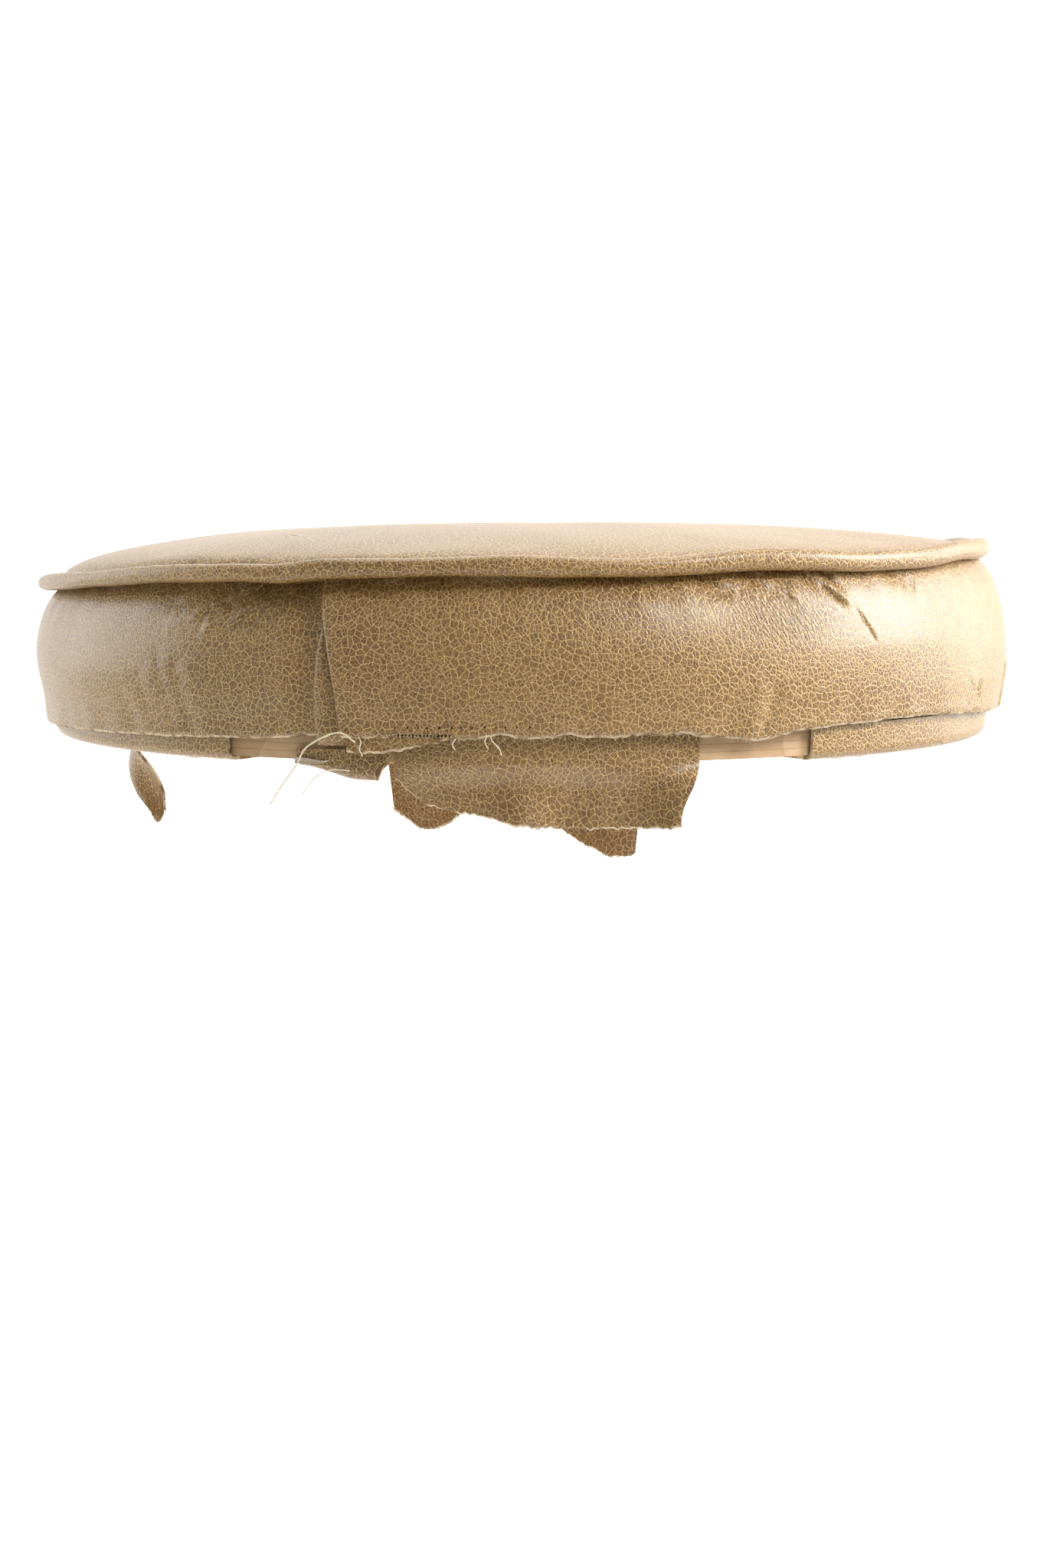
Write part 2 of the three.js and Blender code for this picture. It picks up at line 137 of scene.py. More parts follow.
# %% Making nodes, and a finish: one Principled shader and the nodes that feed it
class Wiring:
    def __init__(self, tree):
        self.tree = tree

    def node(self, kind, settings=None, inputs=None, output=0):
        made = self.tree.nodes.new(kind)
        for name, value in (settings or {}).items():
            setattr(made, name, value)
        for name, value in (inputs or {}).items():
            self.feed(made.inputs[name], value)
        return Value(self, made.outputs[output])

    def feed(self, socket, value):
        if isinstance(value, Value):
            self.tree.links.new(value.socket, socket)
        else:
            socket.default_value = value


class Finish(Wiring):
    def __init__(self, name, **constants):
        self.material = bpy.data.materials.new(name)
        self.material.use_nodes = True
        super().__init__(self.material.node_tree)
        self.shader = self.tree.nodes["Principled BSDF"]
        for socket, value in constants.items():
            self.shader.inputs[socket.replace("_", " ")].default_value = value

    def mix(self, amount, first, second):
        """Colours only: amount 0 gives the first and 1 the second."""
        made = self.tree.nodes.new("ShaderNodeMix")
        made.data_type = "RGBA"
        self.feed(made.inputs[0], amount)
        self.feed(made.inputs[6], first)
        self.feed(made.inputs[7], second)
        return Value(self, made.outputs[2])

    def noise(self, where, scale, detail=2.0, output="Fac"):
        inputs = {"Vector": where, "Scale": scale, "Detail": detail}
        return self.node("ShaderNodeTexNoise", {"noise_dimensions": "3D"}, inputs, output)

    def wave(self, where, scale, direction="X", distortion=0.0, profile="SIN"):
        settings = {"bands_direction": direction, "wave_profile": profile}
        inputs = {"Vector": where, "Scale": scale, "Distortion": distortion}
        return self.node("ShaderNodeTexWave", settings, inputs, "Fac")

    def place(self):
        return self.node("ShaderNodeTexCoord", None, None, "Object")

    def bump(self, height, distance, strength=1.0, under=None):
        inputs = {"Height": height, "Distance": distance, "Strength": strength}
        if under is not None:
            inputs["Normal"] = under
        return self.node("ShaderNodeBump", None, inputs)

    def surface(self, **fed):
        for socket, value in fed.items():
            self.feed(self.shader.inputs[socket.replace("_", " ")], value)
        return self.material


def linear(red, green, blue):
    """A colour given as it looks on a screen, 0 to 255, as the shader wants it."""
    parts = [c / 255 for c in (red, green, blue)]
    return (*[c / 12.92 if c <= 0.04045 else ((c + 0.055) / 1.055) ** 2.4 for c in parts], 1)


# %% [markdown]
# ## Leatherette
#
# Leatherette is a printed and embossed vinyl skin on a knitted backing. The emboss is a net of
# paler creases round brown pebbles, about 2 mm across, with a finer net inside the pebbles.
# Voronoi cells give such a net: the distance to a cell's edge is small along the creases. The
# pattern reads the piece's own UV map, called `cloth` and laid out in metres, so that it
# follows the surface as the real print does. Where the skin is pushed together it crinkles,
# and an attribute called `crinkle` says how much: above 0 the crinkles lean one way, and below
# 0 the other. The crinkles' valleys are painted darker, as painted shade, and an attribute
# called `fold` paints shade along the bottoms of the sharpest creases.

# %% The leatherette's finish
PEBBLE = 2.2 * MM
BROWN = linear(142, 105, 52)
BROWN_DARK = linear(104, 72, 30)
CREASE_TAN = linear(212, 180, 120)


def net_lines(finish, where, size, half_width):
    """1 on the creases of a net of cells of that size, 0 inside the cells, and the height."""
    settings = {"feature": "DISTANCE_TO_EDGE", "voronoi_dimensions": "2D"}
    edge = finish.node("ShaderNodeTexVoronoi", settings, {"Vector": where, "Scale": 1 / size})
    width = half_width / size
    return 1 - edge.fade(0.3 * width, 1.5 * width), edge.fade(0.0, 3.5 * width)


def bent_by(finish, where, amount, scale):
    """The map's coordinates pushed about by noise, so that the net isn't regular."""
    wander = finish.noise(where, scale, 3, "Color")
    centred = finish.node("ShaderNodeVectorMath", {"operation": "SUBTRACT"},
                          {0: wander, 1: (0.5, 0.5, 0.5)})
    shift = finish.node("ShaderNodeVectorMath", {"operation": "SCALE"},
                        {0: centred, "Scale": amount})
    return finish.node("ShaderNodeVectorMath", {"operation": "ADD"}, {0: where, 1: shift})


def crinkles(finish, where, lean, amount):
    """Long narrow cells leaning by that many radians, where the skin is pushed together."""
    drawn_out = finish.node("ShaderNodeMapping", {"vector_type": "TEXTURE"},
                            {"Vector": where, "Rotation": (0, 0, lean),
                             "Scale": (2.2, 0.62, 1.0)})
    lines, height = net_lines(finish, drawn_out, PEBBLE, 0.2 * MM)
    return lines * amount, height * amount


def leatherette(name):
    finish = Finish(name, Specular_IOR_Level=0.5, Coat_Weight=0.5, Coat_Roughness=0.32)
    cloth = finish.node("ShaderNodeUVMap", {"uv_map": "cloth"})
    bent = bent_by(finish, cloth, 1.3 * MM, 420)
    main, main_height = net_lines(finish, bent, PEBBLE, 0.105 * MM)
    fine, fine_height = net_lines(finish, bent_by(finish, cloth, 0.9 * MM, 700),
                                  0.56 * PEBBLE, 0.09 * MM)
    crinkle = finish.node("ShaderNodeAttribute", {"attribute_name": "crinkle"}, None, "Fac")
    crinkled, crinkle_height = crinkles(finish, bent, -1.15, crinkle.fade(0, 1))
    crinkled_left, left_height = crinkles(finish, bent, 0.75, crinkle.fade(0, -1))
    # The `fold` attribute marks painted shade along the bottoms of sharp creases.
    fold = finish.node("ShaderNodeAttribute", {"attribute_name": "fold"}, None, "Fac")

    uneven = finish.noise(cloth, 90, 3)
    clouds = finish.noise(cloth, 11, 3)
    strength = 0.62 + 0.38 * uneven.fade(0.35, 0.62)
    lines = main * strength + 0.72 * fine * (0.45 + 0.55 * uneven.fade(0.66, 0.4))
    pebble_tone = finish.noise(bent, 380, 2).fade(0.32, 0.66) * 0.6
    pebble_tone = pebble_tone + clouds.fade(0.35, 0.68) * 0.4
    pebbles = finish.mix(pebble_tone, BROWN, BROWN_DARK)
    coloured = finish.mix(lines.fade(-0.05, 1.15), pebbles, CREASE_TAN)
    # Painted shade: the crinkles' valleys are painted dark brown.
    skin_colour_with_painted_shade = finish.mix((crinkled + crinkled_left) * 0.5, coloured, BROWN_DARK)
    # Painted shade: the bottoms of sharp creases are darkened.
    painted_crease_shade = fold * finish.noise(cloth, 700, 2).fade(0.35, 0.6)
    skin_colour_with_painted_shade = finish.mix(painted_crease_shade * 0.5, skin_colour_with_painted_shade, linear(82, 58, 28))

    height = main_height * 0.55 + fine_height * 0.45 + (crinkle_height + left_height) * 1.9
    normal = finish.bump(height, 0.2 * MM, 0.9)
    normal = finish.bump(finish.noise(cloth, 1500, 2), 0.05 * MM, 0.4, normal)
    rough = 0.35 + 0.12 * lines + 0.12 * clouds
    return finish.surface(Base_Color=skin_colour_with_painted_shade, Roughness=rough, Normal=normal)


skin = leatherette("leatherette")


# %% [markdown]
# ## The other finishes
#
# The knitted backing and the cut edge show wherever the cover is torn. The edge is a pale,
# fuzzy felt. Board, steel, foam, fibre and thread are each a few nodes: layers for plywood,
# brushed streaks for zinc plate, open cells for foam.

# %% Backing and cut edge
def knitted_backing():
    finish = Finish("knitted_backing", Roughness=0.95)
    cloth = finish.node("ShaderNodeUVMap", {"uv_map": "cloth"})
    loops = finish.wave(cloth, 330, "X", 1.5) * finish.wave(cloth, 240, "Y", 1.0)
    colour = finish.mix(loops, linear(176, 160, 138), linear(214, 200, 180))
    return finish.surface(Base_Color=colour, Normal=finish.bump(loops, 0.15 * MM, 0.8))


def cut_edge():
    finish = Finish("cut_edge", Roughness=0.9)
    place = finish.place()
    fibres = finish.noise(place, 2600, 3)
    patches = finish.noise(place, 220, 3)
    pale = finish.mix(fibres, linear(176, 150, 112), linear(222, 206, 180))
    colour = finish.mix(patches.fade(0.42, 0.62), pale, linear(128, 100, 64))
    return finish.surface(Base_Color=colour, Normal=finish.bump(fibres, 0.12 * MM, 0.7))


backing = knitted_backing()
edge = cut_edge()


# %% Board, steel, foam, fibre and thread
def plywood():
    finish = Finish("plywood", Roughness=0.72)
    place = finish.place()
    height = finish.node("ShaderNodeSeparateXYZ", None, {0: place}, "Z")
    sideways = finish.node("ShaderNodeMapping", None, {"Vector": place, "Scale": (22, 1.6, 60)})
    grain = finish.noise(sideways, 9, 5)
    figure = finish.wave(sideways, 0.5, "X", 6, "SAW")
    layers = finish.node("ShaderNodeMath", {"operation": "FRACT"}, {0: height * (1 / (2.4 * MM))})
    glue = 1 - layers.fade(0.0, 0.12)
    face = finish.mix(grain, linear(214, 186, 148), linear(188, 152, 110))
    figured = finish.mix(figure * 0.35, face, linear(160, 120, 80))
    inside = height.fade(0.05 * MM, 0.15 * MM)
    colour = finish.mix(glue * inside * 0.6, figured, linear(120, 84, 52))
    return finish.surface(Base_Color=colour, Normal=finish.bump(grain, 0.2 * MM, 0.5))


def zinc():
    finish = Finish("zinc_plate", Metallic=1.0, Roughness=0.34)
    place = finish.place()
    spangle = finish.noise(place, 420, 3)
    colour = finish.mix(spangle, linear(176, 178, 180), linear(214, 212, 204))
    return finish.surface(Base_Color=colour, Roughness=0.26 + 0.22 * spangle)


def open_foam():
    finish = Finish("open_foam", Roughness=1.0)
    place = finish.place()
    cells = finish.node("ShaderNodeTexVoronoi", None, {"Vector": place, "Scale": 1300})
    aged = finish.noise(place, 25, 3)
    colour = finish.mix(aged, linear(226, 204, 150), linear(206, 174, 108))
    return finish.surface(Base_Color=colour, Normal=finish.bump(cells, 0.4 * MM, 0.8))


def fibre_fill():
    finish = Finish("fibre_fill", Roughness=1.0)
    place = finish.place()
    strands = finish.noise(place, 900, 6)
    colour = finish.mix(strands, linear(222, 218, 208), linear(246, 244, 238))
    return finish.surface(Base_Color=colour, Normal=finish.bump(strands, 0.8 * MM, 0.8))


def sewing_thread(name, light, dark):
    finish = Finish(name, Roughness=0.7)
    place = finish.place()
    twist = finish.wave(place, 700, "DIAGONAL")
    colour = finish.mix(twist, dark, light)
    return finish.surface(Base_Color=colour, Normal=finish.bump(twist, 0.05 * MM, 0.6))


# Painted shade: a hole is a near-black disc, for the shade inside a punched hole.
def needle_hole():
    finish = Finish("needle_hole", Roughness=0.9)
    place = finish.place()
    colour = finish.mix(finish.noise(place, 900), linear(30, 20, 8), linear(62, 44, 22))
    return finish.surface(Base_Color=colour)


board_finish = plywood()
steel_finish = zinc()
foam_finish = open_foam()
fibre_finish = fibre_fill()
thread_finish = sewing_thread("thread_cream", linear(250, 240, 214), linear(214, 196, 160))
hole_shade_finish = needle_hole()
print("finishes:", len(bpy.data.materials))

# %% [markdown]
# ## Meshes from grids
#
# Almost every piece of the cover is a surface that two numbers run over: an azimuth round the
# pad and a way up it. So each piece is worked out as a grid of points with numpy, and two
# functions turn grids into meshes: `leaf` gives a sheet its thickness, with the skin, the
# backing and the cut edge as three materials, and `closed_tube` joins a grid to itself.


# %% Mesh helpers
def make_object(name, points, faces, finishes, indices=None, cloth=None):
    mesh = bpy.data.meshes.new(name)
    mesh.from_pydata([tuple(p) for p in points], [], faces)
    for finish in finishes:
        mesh.materials.append(finish)
    if indices is not None:
        mesh.polygons.foreach_set("material_index", indices)
    if cloth is not None:
        layer = mesh.uv_layers.new(name="cloth")
        corners = np.zeros(len(mesh.loops), int)
        mesh.loops.foreach_get("vertex_index", corners)
        layer.data.foreach_set("uv", np.asarray(cloth)[corners].ravel())
    mesh.shade_smooth()
    made = bpy.data.objects.new(name, mesh)
    bpy.context.scene.collection.objects.link(made)
    return made


def quads(rows, columns, wrap_rows=False, wrap_columns=False, start=0, flip=False):
    """Faces of a grid whose point (i, j) is number start + i * columns + j."""
    last_i = rows if wrap_rows else rows - 1
    last_j = columns if wrap_columns else columns - 1
    faces = []
    for i in range(last_i):
        for j in range(last_j):
            a, b = start + i * columns + j, start + i * columns + (j + 1) % columns
            c, d = (start + (i + 1) % rows * columns + k for k in ((j + 1) % columns, j))
            faces.append((a, d, c, b) if flip else (a, b, c, d))
    return faces


def grid_normals(grid):
    along = np.gradient(grid, axis=0)
    across = np.gradient(grid, axis=1)
    normals = np.cross(along, across)
    return normals / np.maximum(np.linalg.norm(normals, axis=2, keepdims=True), 1e-12)


def leaf(name, grid, thickness, cloth, finishes=None, fray=0.0, crinkle=None, fold=None):
    """A sheet whose outer face is the grid. Column 0 is its lower edge: the backing reaches
    lower than the skin there, by fray, as it does on a torn edge."""
    rows, columns, _ = grid.shape
    inner = grid - grid_normals(grid) * thickness
    inner[:, 0, 2] -= fray
    points = np.concatenate([grid.reshape(-1, 3), inner.reshape(-1, 3)])
    size = rows * columns
    outer_faces = quads(rows, columns)
    inner_faces = quads(rows, columns, start=size, flip=True)
    rim = []
    for i in range(rows - 1):
        for j, flip in ((0, False), (columns - 1, True)):
            a, b = i * columns + j, (i + 1) * columns + j
            rim.append((a, b, b + size, a + size) if not flip else (b, a, a + size, b + size))
    for j in range(columns - 1):
        for i, flip in ((0, True), (rows - 1, False)):
            a, b = i * columns + j, i * columns + j + 1
            rim.append((a, b, b + size, a + size) if not flip else (b, a, a + size, b + size))
    faces = outer_faces + inner_faces + rim
    kinds = [0] * len(outer_faces) + [1] * len(inner_faces) + [2] * len(rim)
    flat = np.concatenate([cloth.reshape(-1, 2)] * 2)
    made = make_object(name, points, faces, finishes or [skin, backing, edge], kinds, flat)
    for label, amount in (("crinkle", crinkle), ("fold", fold)):
        if amount is not None:
            both = np.concatenate([amount.ravel()] * 2).astype(np.float32)
            made.data.attributes.new(label, "FLOAT", "POINT").data.foreach_set("value", both)
    face_outwards(made)
    made.data.set_sharp_from_angle(angle=math.radians(50))
    return made


def closed_tube(name, grid, cloth, finishes):
    """A ring-shaped tube: rows run round the ring and columns round the tube. The map is given
    at each face's corners, so it can run past the place where the ring closes."""
    rows, columns, _ = grid.shape
    faces = quads(rows, columns, wrap_rows=True, wrap_columns=True)
    made = make_object(name, grid.reshape(-1, 3), faces, finishes)
    layer = made.data.uv_layers.new(name="cloth")
    per_corner = []
    for i in range(rows):
        for j in range(columns):
            for di, dj in ((0, 0), (0, 1), (1, 1), (1, 0)):
                per_corner.append(cloth(i + di, j + dj))
    layer.data.foreach_set("uv", np.array(per_corner).ravel())
    return made


def face_outwards(made):
    import bmesh

    work = bmesh.new()
    work.from_mesh(made.data)
    bmesh.ops.recalc_face_normals(work, faces=work.faces)
    work.to_mesh(made.data)
    work.free()
    return made


def triangles(made):
    return sum(len(p.vertices) - 2 for p in made.data.polygons)


def belongs(made, slot, body, *nodes):
    """Hide the CAD nodes that a piece stands for and attach it to the body that moves it. The
    slot, what the piece is made of, is not used.
    """
    if nodes:
        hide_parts(*nodes)
    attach(made, body)
    return made


NARROWEST = 10 * MM


def declare_sheet(made, length):
    """The cut's width follows from the area of the skin side and the length of the cut. A
    strip that tapers to nothing is cut from one at least 10 mm wide."""
    skin_area = sum(p.area for p in made.data.polygons if p.material_index == 0)
    width = max(skin_area / length, NARROWEST)
    area = skin_area if width == NARROWEST else None
    print("%s: cut %.1f x %.1f mm" % (made.name, width / MM, length / MM))


# %% [markdown]
# ## The pad's own sizes
#
# Azimuth 0 is the front, and azimuths grow towards the right. The radius and heights come from
# the CAD nodes. The cover's top has crept to the left and leans: it lies higher at the right
# than at the left, and `settle` moves every point of the cover in that way.

# %% Sizes from the CAD nodes
band_low, band_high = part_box("side_band")
board_low, board_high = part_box("seat_board")
welt_low, welt_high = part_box("welt_cord")
PAD_R = (band_high.y - band_low.y) / 2
BOARD_R = (board_high.y - board_low.y) / 2
BOARD_T = board_high.z
WELT_MID_R = (welt_high.y - welt_low.y) / 2 - 2.5 * MM
WELT_MID_Z = (welt_low.z + welt_high.z) / 2
SEAM_Z = WELT_MID_Z - 4 * MM
CROWN_Z = WELT_MID_Z + 14.4 * MM
LEAN = 5.8 * MM
SHIFT = 2.5 * MM
SKIN_T = 1.1 * MM
LAP = math.radians(-19.4)
print("pad radius %.1f mm, seam at %.1f mm" % (PAD_R / MM, SEAM_Z / MM))


def polar(radius, azimuth, height):
    """Points from radii, azimuths and heights, which may be arrays of one shape."""
    parts = np.broadcast_arrays(radius * np.sin(azimuth), -radius * np.cos(azimuth), height)
    return np.stack(parts, axis=-1)


def settle(points):
    share = np.maximum(0, (points[..., 2] - BOARD_T) / (SEAM_Z - BOARD_T))
    moved = points.copy()
    moved[..., 2] += LEAN * points[..., 0] / PAD_R * share
    moved[..., 0] -= SHIFT * share
    return moved


def full_turn(count):
    return np.linspace(0, 2 * math.pi, count, endpoint=False)


def run_along(line):
    """How far along a line each of its points lies."""
    return np.concatenate([[0], np.cumsum(np.linalg.norm(np.diff(line, axis=0), axis=1))])


def smooth(x):
    x = np.clip(x, 0, 1)
    return x * x * (3 - 2 * x)


def hump(azimuth, centre, width):
    """A smooth hill, 1 at its centre; centre and width are in degrees."""
    off = (np.degrees(azimuth) - centre + 180) % 360 - 180
    return np.exp(-((off / width) ** 2))


def ripple(azimuth, seed, slowest, fastest):
    """Seeded waves round the pad, between two counts of waves per turn."""
    chance = np.random.default_rng(seed)
    total = np.zeros_like(azimuth, dtype=float)
    for count in range(slowest, fastest + 1):
        total += chance.normal() * np.cos(count * azimuth + chance.uniform(0, 2 * math.pi))
    return total / math.sqrt(fastest + 1 - slowest)


# %% [markdown]
# ## The loose thread
#
# A seam's thread has come out at the left of the front. It leaves the hem, rises in a small
# loop and hangs beside the flaps: about 40 mm of it shows, and its end is bare. It is made
# first of all the pieces, because it is a free cord. A smooth curve runs through the points of
# its route, and a tube with a slight twist follows the curve.


# %% A tube along a route
def through(points, per_gap):
    """A smooth curve through points: each gap is bent by its neighbours (Catmull-Rom)."""
    points = np.array(points, float)
    padded = np.vstack([2 * points[0] - points[1], points, 2 * points[-1] - points[-2]])
    path = []
    for a, b, c, d in zip(padded, padded[1:], padded[2:], padded[3:]):
        for t in np.linspace(0, 1, per_gap, endpoint=False):
            path.append(b + 0.5 * t * (c - a + t * (2 * a - 5 * b + 4 * c - d
                                                    + t * (3 * (b - c) + d - a))))
    return np.array(path + [points[-1]])


def tube(name, path, radius, finish, sides=10, twist=0.0):
    directions = np.gradient(path, axis=0)
    directions /= np.linalg.norm(directions, axis=1, keepdims=True)
    side = np.cross(directions, (0.12, 1, 0.07))
    side /= np.linalg.norm(side, axis=1, keepdims=True)
    other = np.cross(directions, side)
    points, count = [], len(path)
    for k in range(count):
        ends = 1 if 0 < k < count - 1 else 0.45
        for j in range(sides):
            turn = 2 * math.pi * j / sides
            thick = radius * ends * (1 + 0.12 * math.cos(2 * turn - twist * k))
            way = side[k] * math.cos(turn) + other[k] * math.sin(turn)
            points.append(path[k] + thick * way)
    faces = quads(count, sides, wrap_columns=True)
    faces.append(tuple(range(sides)))
    faces.append(tuple(range((count - 1) * sides, count * sides))[::-1])
    return face_outwards(make_object(name, points, faces, [finish]))


# %% The thread
THREAD_ROUTE = [(-50, -172, 6.5), (-55.5, -171.6, 9.4), (-64.8, -169.5, 5), (-68.4, -168.5, -0.9),
                (-73, -167, -7.3), (-76.8, -165.5, -13.2)]
THREAD_D = 0.5 * MM


def loose_thread():
    path = through(np.array(THREAD_ROUTE) * MM, 7)
    fine = through(np.array(THREAD_ROUTE) * MM, 40)
    made = tube("seam_thread", fine, THREAD_D / 2, thread_finish, 10, 0.35)
    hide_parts("loose_thread")
    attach(made, "pad")
    return made


seam_thread = loose_thread()

# %% [markdown]
# ## The side band
#
# The band is one strip. It starts at the lap, left of the front, runs right round the pad and
# tucks its last end under its first. It bulges in the middle, curls in under the welt, and its
# lower edge is ragged. Creases are the signature of a worn seat: each is a line from one point
# to another with a width and a depth, and the ones at the right are where someone's heel or a
# buckle has pulled the skin.

# %% The band's lower edge and section
SECTION_Z = np.array([0, 2, 6, 13, 20, 27, 33, 39, 45, 49, 52, 54, 56, 58]) * MM
SECTION_IN = np.array([3.6, 3, 2.5, 1.7, 0.5, 0, 0.3, 1.6, 3.5, 5.4, 7.4, 9.0, 10.8, 12.9]) * MM


def hem_z(azimuth):
    lift = 4 * np.maximum(0, np.cos(azimuth)) + 2.5 * np.sin(azimuth)
    local = 0.8 * hump(azimuth, -19, 6) - 2.7 * hump(azimuth, 24, 4.5) + 2 * hump(azimuth, 48, 14)
    return (4.6 + lift + local) * MM


def inset(height):
    """How far the band's outer face lies inside the widest radius, smoothed over the knots."""
    spread = [np.interp(height + d * MM, SECTION_Z, SECTION_IN) for d in (-3, -1.5, 0, 1.5, 3)]
    return np.average(spread, axis=0, weights=[1, 2, 3, 2, 1])


# Each crease: azimuth and height of its two ends, half width, depth and height of its ridge.
CREASES = [
    ((34.0, 50.5), (36.5, 44.5), 0.9, 1.2, 0.9),
    ((38.0, 42.5), (39.8, 34.5), 0.5, 0.6, 0.4),
    ((34.7, 56.0), (36.2, 51.0), 1.5, 1.3, 0.8),
    ((29.0, 49.0), (29.8, 46.0), 0.7, 0.7, 0.5),
    ((31.5, 57), (33.0, 51), 2.0, 0.9, 0.7),
    ((24.5, 57), (27.5, 49), 1.8, 0.6, 0.5),
    ((44.0, 56), (49.0, 50), 3.6, 0.9, 0.2),
    ((-42.9, 27), (-41.2, 7), 2.8, 0.3, 0.15),
    ((-39.6, 35), (-38.4, 9), 2.3, 0.25, 0.12),
    ((-46.0, 20), (-44.4, 5), 3.0, 0.25, 0.15),
    ((-36.9, 31), (-36.0, 6), 2.6, 0.4, 0.2),
    ((-26.5, 56), (-34.0, 46), 2.0, 1.2, 0.7),
    ((-31.5, 55), (-39.0, 49), 2.4, 0.5, 0.3),
    ((12.0, 57), (14.0, 50), 2.4, 0.6, 0.3),
    ((19.0, 57), (22.5, 48), 2.0, 0.9, 0.5),
    ((24.5, 4), (26.5, 22), 2.6, 0.7, 0.4),
    ((60.0, 3), (62.0, 18), 2.4, 0.8, 0.5),
    ((76.0, 22), (78.0, 3), 2.4, 1.2, 0.8),
    ((118.0, 57), (121.5, 44), 2.0, 1.5, 0.8),
    ((160.0, 22), (158.0, 3), 2.2, 1.2, 0.7),
    ((201.0, 57), (204.0, 46), 1.8, 1.4, 0.8),
    ((236.0, 28), (239.0, 3), 2.3, 1.3, 0.8),
]
# The same lines again, but only where the skin is creased so sharply that a dark line of painted
# shade is drawn along the crease's bottom.
SHADED_CREASES = [CREASES[0], CREASES[2], CREASES[3]]


def crease_shapes(azimuth, height, creases=CREASES):
    """For each crease: how much a point is in its run, and how far to its side, in mm."""
    degrees = np.degrees(azimuth)
    for (az_a, z_a), (az_b, z_b), width, depth, ridge in creases:
        off = (degrees - az_a + 180) % 360 - 180
        x, y = np.radians(off) * PAD_R / MM, height / MM - z_a
        to_x, to_y = math.radians(az_b - az_a) * PAD_R / MM, z_b - z_a
        length = math.hypot(to_x, to_y)
        along = (x * to_x + y * to_y) / length
        side = (x * to_y - y * to_x) / length
        side = side + 0.25 * width * np.sin(along * 1.1 + az_a)
        ends = smooth((along + 2) / 4) * smooth((length + 2 - along) / 4)
        yield ends, side, width, depth, ridge


def crease_depths(azimuth, height):
    total = 0.0
    for ends, side, width, depth, ridge in crease_shapes(azimuth, height):
        valley = np.exp(-((side / width) ** 2))
        rise = np.exp(-(((side + 2.2 * width) / (1.6 * width)) ** 2))
        total = total + ends * (ridge * rise - depth * valley)
    return total * MM


def crease_shade_line(azimuth, height):
    """0 to 1: painted shade, the dark line at the bottom of a sharp crease."""
    lines = [ends * np.exp(-((side / max(0.3, 0.36 * width)) ** 2))
             for ends, side, width, *_ in crease_shapes(azimuth, height, SHADED_CREASES)]
    broken = 0.6 + 0.45 * np.sin(height / MM * 1.7 + np.degrees(azimuth) * 2.6)
    return np.clip(sum(lines), 0, 1) * np.clip(broken, 0.2, 1)


def sink(azimuth):
    """How deep the tucked end lies inside the rest of the band."""
    from_lap = np.degrees(azimuth - LAP) - 360
    return 1.9 * MM * smooth((from_lap + 16.6) / 12) + 1.9 * MM * smooth((from_lap + 5) / 3.5)


def wrinkles(azimuth, height):
    """Fine folds left of the lap, where the strip was pushed together as it was sewn."""
    x, z = azimuth * PAD_R / MM, height / MM
    where = hump(azimuth, -28, 6.5) * smooth((z - 39) / 7) * smooth((58 - z) / 5)
    phase = (0.8 * z - 0.6 * x) * 2 * math.pi / 3.3
    phase = phase + 1.4 * np.sin(x / 4.1) + 1.1 * np.sin(z / 2.7)
    return 0.34 * MM * where * np.sin(phase)


# Height and how far the band stands out there at the right side, in mm.
FULLER_RIGHT = [(0, 0), (8, 0.3), (20, 0.8), (35, 1.6), (45, 3.2), (50, 4.2), (57, 4.6)]


def band_radius(azimuth, height):
    flat = PAD_R - 0.4 * MM - inset(height)
    share = height / SEAM_Z
    slack = 0.55 * MM * ripple(azimuth, 3, 3, 11) * np.sin(math.pi * share)
    top = smooth((height - 40 * MM) / (14 * MM))
    gathers = 0.28 * MM * ripple(azimuth, 5, 40, 90) * top
    pleats = 0.22 * MM * ripple(azimuth, 8, 30, 70) * (1 - smooth((height - 4 * MM) / (16 * MM)))
    pocket = 2.2 * MM * hump(azimuth, -23, 2.2) * top
    pushed_out = np.interp(height / MM, *np.transpose(FULLER_RIGHT))
    fuller = pushed_out * MM * hump(azimuth, 92, 28)
    worked = wrinkles(azimuth, height) + crease_depths(azimuth, height)
    return flat + slack + gathers + pleats + fuller + worked - pocket


# %% The slanting line of the lap, and the pleat's left side
def lap_azimuth(height):
    return np.radians(np.interp(height / MM, [7, 20, 28, 36, 43.5, 50, 56],
                                [-18.15, -18.2, -18.4, -18.8, -19.3, -19.8, -20.4]))


def pleat_left(height):
    return np.radians(np.interp(height / MM, [5, 14, 22, 28, 36, 41, 44.5],
                                [-21.2, -21.15, -20.8, -20.5, -20.15, -19.8, -19.45]))


# %% The band itself
def band_azimuths():
    start, end = math.degrees(LAP), math.degrees(LAP) + 369.5
    spans = [(start, start + 1.2, 0.08), (start + 1.2, 23, 0.32), (23, 47, 0.2), (47, 70, 0.35),
             (70, 300, 0.95), (300, 338, 0.32), (338, end, 0.5)]
    return np.radians(np.concatenate([np.arange(*span) for span in spans]))


def crinkle_amount(azimuth, height):
    z = height / MM
    left = hump(azimuth, -28, 6) * smooth((z - 38) / 8)
    middle = hump(azimuth, 14, 14) * smooth((z - 26) / 24) * 0.5
    right = hump(azimuth, 29, 8) * smooth((z - 26) / 18) * 0.9
    return np.clip(np.maximum(middle, right), 0, 1) - np.clip(left, 0, 1)


def ragged(azimuth, seed):
    fine, coarse = ripple(azimuth, seed, 150, 420), ripple(azimuth, seed + 1, 30, 90)
    return (0.22 * fine + 0.3 * coarse) * MM


# Notches torn out of the front hem: azimuth, half width in degrees, height in mm.
NOTCHES = [(-1.9, 1.5, 1.1), (4.7, 0.8, 1.3), (11.0, 0.6, 0.7), (16.2, 1.0, 0.9)]


